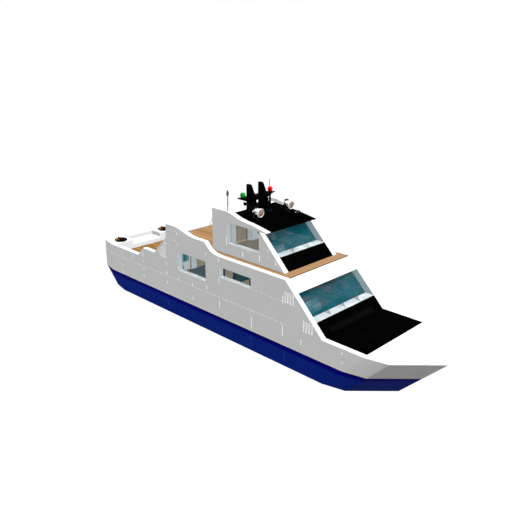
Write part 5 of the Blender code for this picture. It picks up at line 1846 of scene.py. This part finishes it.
class HOUSEBOAT_OT_furniture(bpy.types.Operator):
    """Partition, galley, locker and settee"""

    bl_idname = "houseboat.furniture"
    bl_label = "Furniture"

    def execute(self, context):
        self.partition()
        self.galley()
        self.locker()
        self.settee()
        self.loose_fittings()
        return {"FINISHED"}

    @staticmethod
    def partition():
        wall = Shape("partition_board", "veneer")
        wall.node("partition", 0.006, 0.003)
        wall.use("brushed")
        light = y0, y1, z0, z1 = -1.36, -0.10, 2.45, 3.95
        wall.surround(-0.620, -0.6152, light, 0.03)
        wall.surround(-0.5148, -0.510, light, 0.03)
        wall.block((-0.60, -0.998, z0), (-0.53, -0.954, z1), 0.003)
        wall.done(slot="brown_panel", replaces=["partition"])
        glass = Shape("partition_pane", "indoor glass")
        glass.block((-0.572, y0, z0), (-0.558, y1, z1), 0.0)
        glass.done(slot="tinted_glass")

    @staticmethod
    def galley():
        x0, x1, y0, y1, z0, z1 = -4.0, -1.2, 1.55, 2.205, 2.163, 3.10
        unit = Shape("galley_unit", "lining")
        unit.block((x0 + 0.01, y0 + 0.05, z0), (x1 - 0.01, y1, z0 + 0.09), 0.004)
        unit.block((x0, y0 + 0.02, z0 + 0.09), (x1, y1, z1 - 0.04), 0.004)
        count = 5
        width = (x1 - x0) / count
        near, far = y0 + 0.002, y0 + 0.019
        for number in range(count):
            left = x0 + width * number + 0.006
            right = left + width - 0.012
            unit.block((left, near, z0 + 0.10), (right, far, z1 - 0.21), 0.004)
            unit.block((left, near, z1 - 0.20), (right, far, z1 - 0.05), 0.004)
        unit.use("brushed").block((x0, y0, z1 - 0.038), (x1, y1, z1), 0.008)
        unit.use("screen").block((-1.95, 1.66, z1), (-1.35, 2.10, z1 + 0.004), 0.002)
        unit.use("plastic").block((-3.30, 1.68, z1), (-2.80, 2.08, z1 + 0.003), 0.002)
        tap = -3.05
        unit.use("polished").rod((tap, 2.12, z1), (tap, 2.12, z1 + 0.26), 0.013)
        unit.rod((tap, 2.12, z1 + 0.25), (tap, 1.94, z1 + 0.25), 0.011)
        for number in range(count):
            x = x0 + width * (number + 0.5)
            unit.rod((x - 0.08, y0 - 0.004, z1 - 0.12), (x + 0.08, y0 - 0.004, z1 - 0.12), 0.006, sides=8)
        unit.done(slot="pale_panel", replaces=["galley"])

    @staticmethod
    def loose_fittings():
        """Boards beside the upper windows, the dash pad, and the extinguisher by the saloon window."""
        ends = Shape("upper_window_end_boards", "lining")
        for side in SIDES:
            near, far = band(side, 1.34, CABIN_IN - 0.014)
            ends.block((-0.345, near, UPPER_Z - 0.02), (-0.300, far, 6.02), 0.004)
        ends.done(slot="pale_panel")
        pad = Shape("lower_dash_pad", "plastic")
        pad.prism([(5.02, 2.50), (5.20, 2.50), (5.20, 2.70), (5.02, 2.74)], -2.19, 1.02, "Y", 0.01)
        pad.done(slot="black_plastic")
        bottle = Shape("fire_extinguisher", "enamel")
        shape = [(0, 0), (0, 0.066), (0.01, 0.072), (0.34, 0.072), (0.38, 0.05), (0.40, 0.028), (0.43, 0.028)]
        bottle.lathe([*shape, (0.43, 0)], (-3.79, -2.115, 2.57), "Z", 24)
        bottle.block((-3.83, -2.206, 2.66), (-3.75, -2.16, 2.72), 0.004)
        bottle.done(slot="black_plastic")

    @staticmethod
    def locker():
        body = Shape("cabin_locker_case", "lining")
        body.node("cabin_locker", 0.008, 0.004)
        body.use("polished").rod((-1.090, 0.72, 5.0), (-1.090, 0.72, 5.3), 0.008, sides=10)
        body.done(slot="pale_panel", replaces=["cabin_locker"])

    @staticmethod
    def settee():
        aft, fore, count = 2.0, 4.0, 3
        floor = DECK_Z + 0.013
        base = Shape("settee_base", "veneer")
        base.block((aft, 1.24, floor), (fore, 2.19, floor + 0.25), 0.012)
        base.block((aft, 2.10, floor + 0.24), (fore, 2.195, floor + 0.82), 0.012)
        base.done(slot="brown_panel", replaces=["settee"])
        width = (fore - aft) / count
        for number in range(count):
            left = aft + width * number
            near, far = left + 0.006, left + width - 0.006
            for label, y0, y1, foot, head in (
                ("seat", 1.205, 1.90, floor + 0.252, floor + 0.425),
                ("back", 1.915, 2.098, floor + 0.30, floor + 0.83),
            ):
                pad = cushion(f"settee_{label}_cushion_{number + 1}", (near, y0, foot), (far, y1, head))


def cushion(name, low, high):
    """A crowned box cushion: soft corners, sides pulled in between them, and a piped seam all round."""
    bm = bmesh.new()
    bmesh.ops.create_cube(bm, size=2.0)
    bmesh.ops.subdivide_edges(bm, edges=bm.edges, cuts=9, use_grid_fill=True)
    low, high = Vector(low), Vector(high)
    centre, half = (low + high) / 2, (high - low) / 2
    thin = min(range(3), key=lambda axis: half[axis])
    flat = [axis for axis in range(3) if axis != thin]
    for vert in bm.verts:
        spot = vert.co.copy()
        a, b = spot[flat[0]], spot[flat[1]]
        crown = (1 - a * a) * (1 - b * b)
        rim = max(abs(a), abs(b))
        spot[thin] *= 0.80 + 0.20 * crown ** 0.4 if rim < 0.999 else 0.74
        pull = 0.03 * (1 - spot[thin] ** 2)
        spot[flat[0]] *= 1 - pull * (1 - b * b) - 0.03 * abs(b) ** 6
        spot[flat[1]] *= 1 - pull * (1 - a * a) - 0.03 * abs(a) ** 6
        vert.co = [centre[axis] + half[axis] * spot[axis] * 0.985 for axis in range(3)]
    mesh = bpy.data.meshes.new(name)
    for face in bm.faces:
        face.smooth = True
    bm.to_mesh(mesh)
    bm.free()
    mesh.materials.append(finish("upholstery"))
    mesh = changed(name, mesh, "SUBSURF", {"levels": 1, "render_levels": 1})
    return placed(name, mesh, "hull", ())


class HOUSEBOAT_OT_helms(bpy.types.Operator):
    """Helm consoles with blank instruments, and their spoked wheels"""

    bl_idname = "houseboat.helms"
    bl_label = "Helms"

    def execute(self, context):
        self.helm("lower", 4.485, -1.10, DECK_Z + 0.62)
        self.helm("upper", 2.005, -0.80, UPPER_Z - 0.045 + 0.45)
        return {"FINISHED"}

    @staticmethod
    def helm(name, x, y, top):
        console = Shape(f"{name}_helm_stand", "lining")
        console.node(f"{name}_helm_console", 0.012, 0.004)
        rise, aft_rise = 0.30, 0.24
        lean = Vector((0.10, 0, rise - aft_rise)).normalized()
        up = Vector((-lean.z, 0, lean.x))
        for offset in (-0.30, 0.30):
            spot = Vector((x - 0.05, y + offset, top + (rise + aft_rise) / 2))
            console.use("screen").rod(spot + up * 0.0005, spot + up * 0.004, 0.045, sides=24)
            console.use("polished").ring(spot + up * 0.003, 0.046, 0.004)
        lever = y + 0.40
        console.rod((x - 0.04, lever, top + 0.27), (x - 0.08, lever, top + 0.40), 0.008, sides=10)
        console.lathe([(0, 0), (0, 0.018), (0.03, 0.02), (0.036, 0)], (x - 0.08, lever, top + 0.39), "Z", 14)
        console.done(slot="pale_panel", replaces=[f"{name}_helm_console"])
        centre = Vector((x - 0.18, y, top + 0.05))
        wheel = Shape(f"{name}_helm_rim", "plastic")
        wheel.ring(centre, 0.176, 0.0135, "X", 40)
        wheel.use("polished")
        spokes = 3
        for spoke in range(spokes):
            angle = pi / 2 + 2 * pi * spoke / spokes
            end = centre + Vector((0, 0.172 * cos(angle), 0.172 * sin(angle)))
            wheel.rod(centre, end, 0.009, 0.007, sides=10)
        hub = [(-0.015, 0), (-0.015, 0.03), (-0.005, 0.038), (0.02, 0.038), (0.02, 0.03), (0.072, 0.03)]
        wheel.use("plastic").lathe([*hub, (0.072, 0)], centre, "X", 24)
        wheel.done(f"{name}_wheel", slot="black_plastic", replaces=[f"{name}_helm_wheel"])


# Stage

# Brightness of the dome by the z of the direction: none below the floor, bright at its rim, most overhead
DOME = ((-0.03, 0.0), (-0.02, 1.0), (0.06, 1.0), (0.08, 0.28), (1.0, 1.48))
DOME_SCALE = 2.0
# The sky above this z is a little brighter towards the bow
BIAS_Z = 0.07
BOW_BIAS = 0.17
# A broad soft light high over the bow: where it stands, the cosine at its rim, and its strength
KEY_WAY = (0.66, 0.0, 0.751)
KEY_RIM = 0.81
KEY_STRENGTH = 3.2
# Soft lights under the cabin ceilings: middle, length and breadth, and watts
CABIN_LIGHTS = (
    ((-2.6, 0.0, 4.12), (3.4, 3.6), 8.0),
    ((1.8, 0.0, 4.12), (3.6, 3.6), 7.0),
    ((0.35, 0.0, 6.02), (2.4, 2.6), 5.0),
)
FLOOR_REACH = 4000.0
# Where the camera stands, and its fall and turn in degrees
CAMERA_PLACE = (21.289, -21.674, 14.552)
CAMERA_FALL = 19.352
CAMERA_TURN = 44.760


class HOUSEBOAT_OT_stage(bpy.types.Operator):
    """Pale floor, soft white dome, lights in the cabins and the camera"""

    bl_idname = "houseboat.stage"
    bl_label = "Stage"

    def execute(self, context):
        self.floor(context)
        self.dome(context)
        for number, (spot, size, watts) in enumerate(CABIN_LIGHTS):
            self.cabin_light(context, f"cabin_light_{number + 1}", spot, size, watts)
        self.camera(context)
        context.scene.view_settings.view_transform = "Standard"
        return {"FINISHED"}

    @staticmethod
    def floor(context):
        mesh = bpy.data.meshes.new("studio_floor")
        square = ((-1, -1), (1, -1), (1, 1), (-1, 1))
        corners = [(x * FLOOR_REACH, y * FLOOR_REACH, -0.001) for x, y in square]
        mesh.from_pydata(corners, [], [(0, 1, 2, 3)])
        # A lit floor: its own glow gives the plain white, so the boat leaves no more than a breath of shade.
        glow = Vector(setting("stage.floor"))
        dim = opaque(glow * 0.04)
        made, tree, shader = shaded("lit_studio_floor", 0.9, 0.0, Base_Color=dim, Emission_Strength=1.0)
        colour = mottled(tree, (glow * 0.995, glow), 3000)[0]
        tree.links.new(colour, shader.inputs["Emission Color"])
        mesh.materials.append(made)
        floor = bpy.data.objects.new("studio_floor", mesh)
        context.scene.collection.objects.link(floor)
        floor.visible_diffuse = False

    @staticmethod
    def dome(context):
        world = bpy.data.worlds.new("studio_dome")
        context.scene.world = world
        world.use_nodes = True
        tree = world.node_tree
        way = add_node(tree, "ShaderNodeTexCoord").outputs["Generated"]
        axes = add_node(tree, "ShaderNodeSeparateXYZ", {"Vector": way}).outputs
        limits = {"Value": axes["Z"], "From Min": -1.0, "From Max": 1.0}
        share = add_node(tree, "ShaderNodeMapRange", limits).outputs["Result"]
        ramp = add_node(tree, "ShaderNodeValToRGB", {"Fac": share})
        while len(ramp.color_ramp.elements) < len(DOME):
            ramp.color_ramp.elements.new(0.5)
        colour = toned(ramp, [((z + 1) / 2, [strength / DOME_SCALE] * 3) for z, strength in DOME])
        scale = {0: colour, 1: setting("stage.sky") * DOME_SCALE}
        even = add_node(tree, "ShaderNodeMath", scale, operation="MULTIPLY").outputs[0]
        over = add_node(tree, "ShaderNodeMath", {0: axes["Z"], 1: BIAS_Z}, operation="GREATER_THAN")
        lean = add_node(tree, "ShaderNodeMath", {0: axes["X"], 1: BOW_BIAS}, operation="MULTIPLY")
        terms = {0: over.outputs[0], 1: lean.outputs[0], 2: even}
        both = add_node(tree, "ShaderNodeMath", terms, operation="MULTIPLY_ADD").outputs[0]
        near = add_node(tree, "ShaderNodeVectorMath", {0: way, 1: KEY_WAY}, operation="DOT_PRODUCT")
        near = near.outputs["Value"]
        limits = {"Value": near, "From Min": KEY_RIM, "From Max": 1.0, "To Max": KEY_STRENGTH}
        key = add_node(tree, "ShaderNodeMapRange", limits).outputs["Result"]
        whole = add_node(tree, "ShaderNodeMath", {0: both, 1: key}, operation="ADD").outputs[0]
        strength = add_node(tree, "ShaderNodeMath", {0: whole, 1: 0.0}, operation="MAXIMUM").outputs[0]
        sky = tree.nodes["Background"]
        sky.inputs["Color"].default_value = (1.0, 1.0, 1.0, 1.0)
        tree.links.new(strength, sky.inputs["Strength"])

    @staticmethod
    def cabin_light(context, name, spot, size, watts):
        data = bpy.data.lights.new(name, "AREA")
        data.shape = "RECTANGLE"
        data.size, data.size_y = size
        data.energy = watts
        light = bpy.data.objects.new(name, data)
        light.location = spot
        light.visible_camera = False
        light.visible_glossy = False
        light.visible_transmission = False
        context.scene.collection.objects.link(light)

    @staticmethod
    def camera(context):
        data = bpy.data.cameras.new("camera")
        data.lens = setting("stage.lens")
        data.sensor_width = 36.0
        data.clip_start = 0.5
        data.clip_end = 10000.0
        camera = bpy.data.objects.new("camera", data)
        camera.location = CAMERA_PLACE
        camera.rotation_euler = (radians(90.0 - CAMERA_FALL), 0.0, radians(CAMERA_TURN))
        context.scene.collection.objects.link(camera)
        context.scene.camera = camera


class HOUSEBOAT_PT_panel(bpy.types.Panel):
    """Buttons and settings for the houseboat"""

    bl_idname = "HOUSEBOAT_PT_panel"
    bl_label = "Houseboat"
    bl_space_type = "VIEW_3D"
    bl_region_type = "UI"
    bl_category = "Houseboat"

    def draw(self, context):
        for label, group in GROUPS.items():
            box = self.layout.box()
            box.label(text=label.replace("houseboat_", "").title())
            for name in group.__annotations__:
                box.prop(getattr(context.scene, label), name)
        for operator in OPERATORS:
            self.layout.operator(operator.bl_idname)


GROUPS = {
    "houseboat_paint": HouseboatPaint,
    "houseboat_deck": HouseboatDeck,
    "houseboat_glass": HouseboatGlass,
    "houseboat_cabin": HouseboatCabin,
    "houseboat_stage": HouseboatStage,
}

OPERATORS = (
    HOUSEBOAT_OT_hull,
    HOUSEBOAT_OT_side_walls,
    HOUSEBOAT_OT_vents,
    HOUSEBOAT_OT_upper_cabin,
    HOUSEBOAT_OT_black_panels,
    HOUSEBOAT_OT_decks,
    HOUSEBOAT_OT_side_windows,
    HOUSEBOAT_OT_fronts,
    HOUSEBOAT_OT_mast,
    HOUSEBOAT_OT_sidelights,
    HOUSEBOAT_OT_antenna,
    HOUSEBOAT_OT_searchlights,
    HOUSEBOAT_OT_horn,
    HOUSEBOAT_OT_stern,
    HOUSEBOAT_OT_bulkheads,
    HOUSEBOAT_OT_doors,
    HOUSEBOAT_OT_ladder,
    HOUSEBOAT_OT_running_gear,
    HOUSEBOAT_OT_engines,
    HOUSEBOAT_OT_floors,
    HOUSEBOAT_OT_furniture,
    HOUSEBOAT_OT_helms,
    HOUSEBOAT_OT_stage,
)


def register():
    for label, group in GROUPS.items():
        bpy.utils.register_class(group)
        setattr(bpy.types.Scene, label, bpy.props.PointerProperty(type=group))
    for operator in OPERATORS:
        bpy.utils.register_class(operator)
    bpy.utils.register_class(HOUSEBOAT_PT_panel)


def unregister():
    bpy.utils.unregister_class(HOUSEBOAT_PT_panel)
    for operator in reversed(OPERATORS):
        bpy.utils.unregister_class(operator)
    for label, group in reversed(list(GROUPS.items())):
        delattr(bpy.types.Scene, label)
        bpy.utils.unregister_class(group)


def main():
    register()
    for operator in OPERATORS:
        family, name = operator.bl_idname.split(".")
        getattr(getattr(bpy.ops, family), name)()


if __name__ == "__main__":
    main()
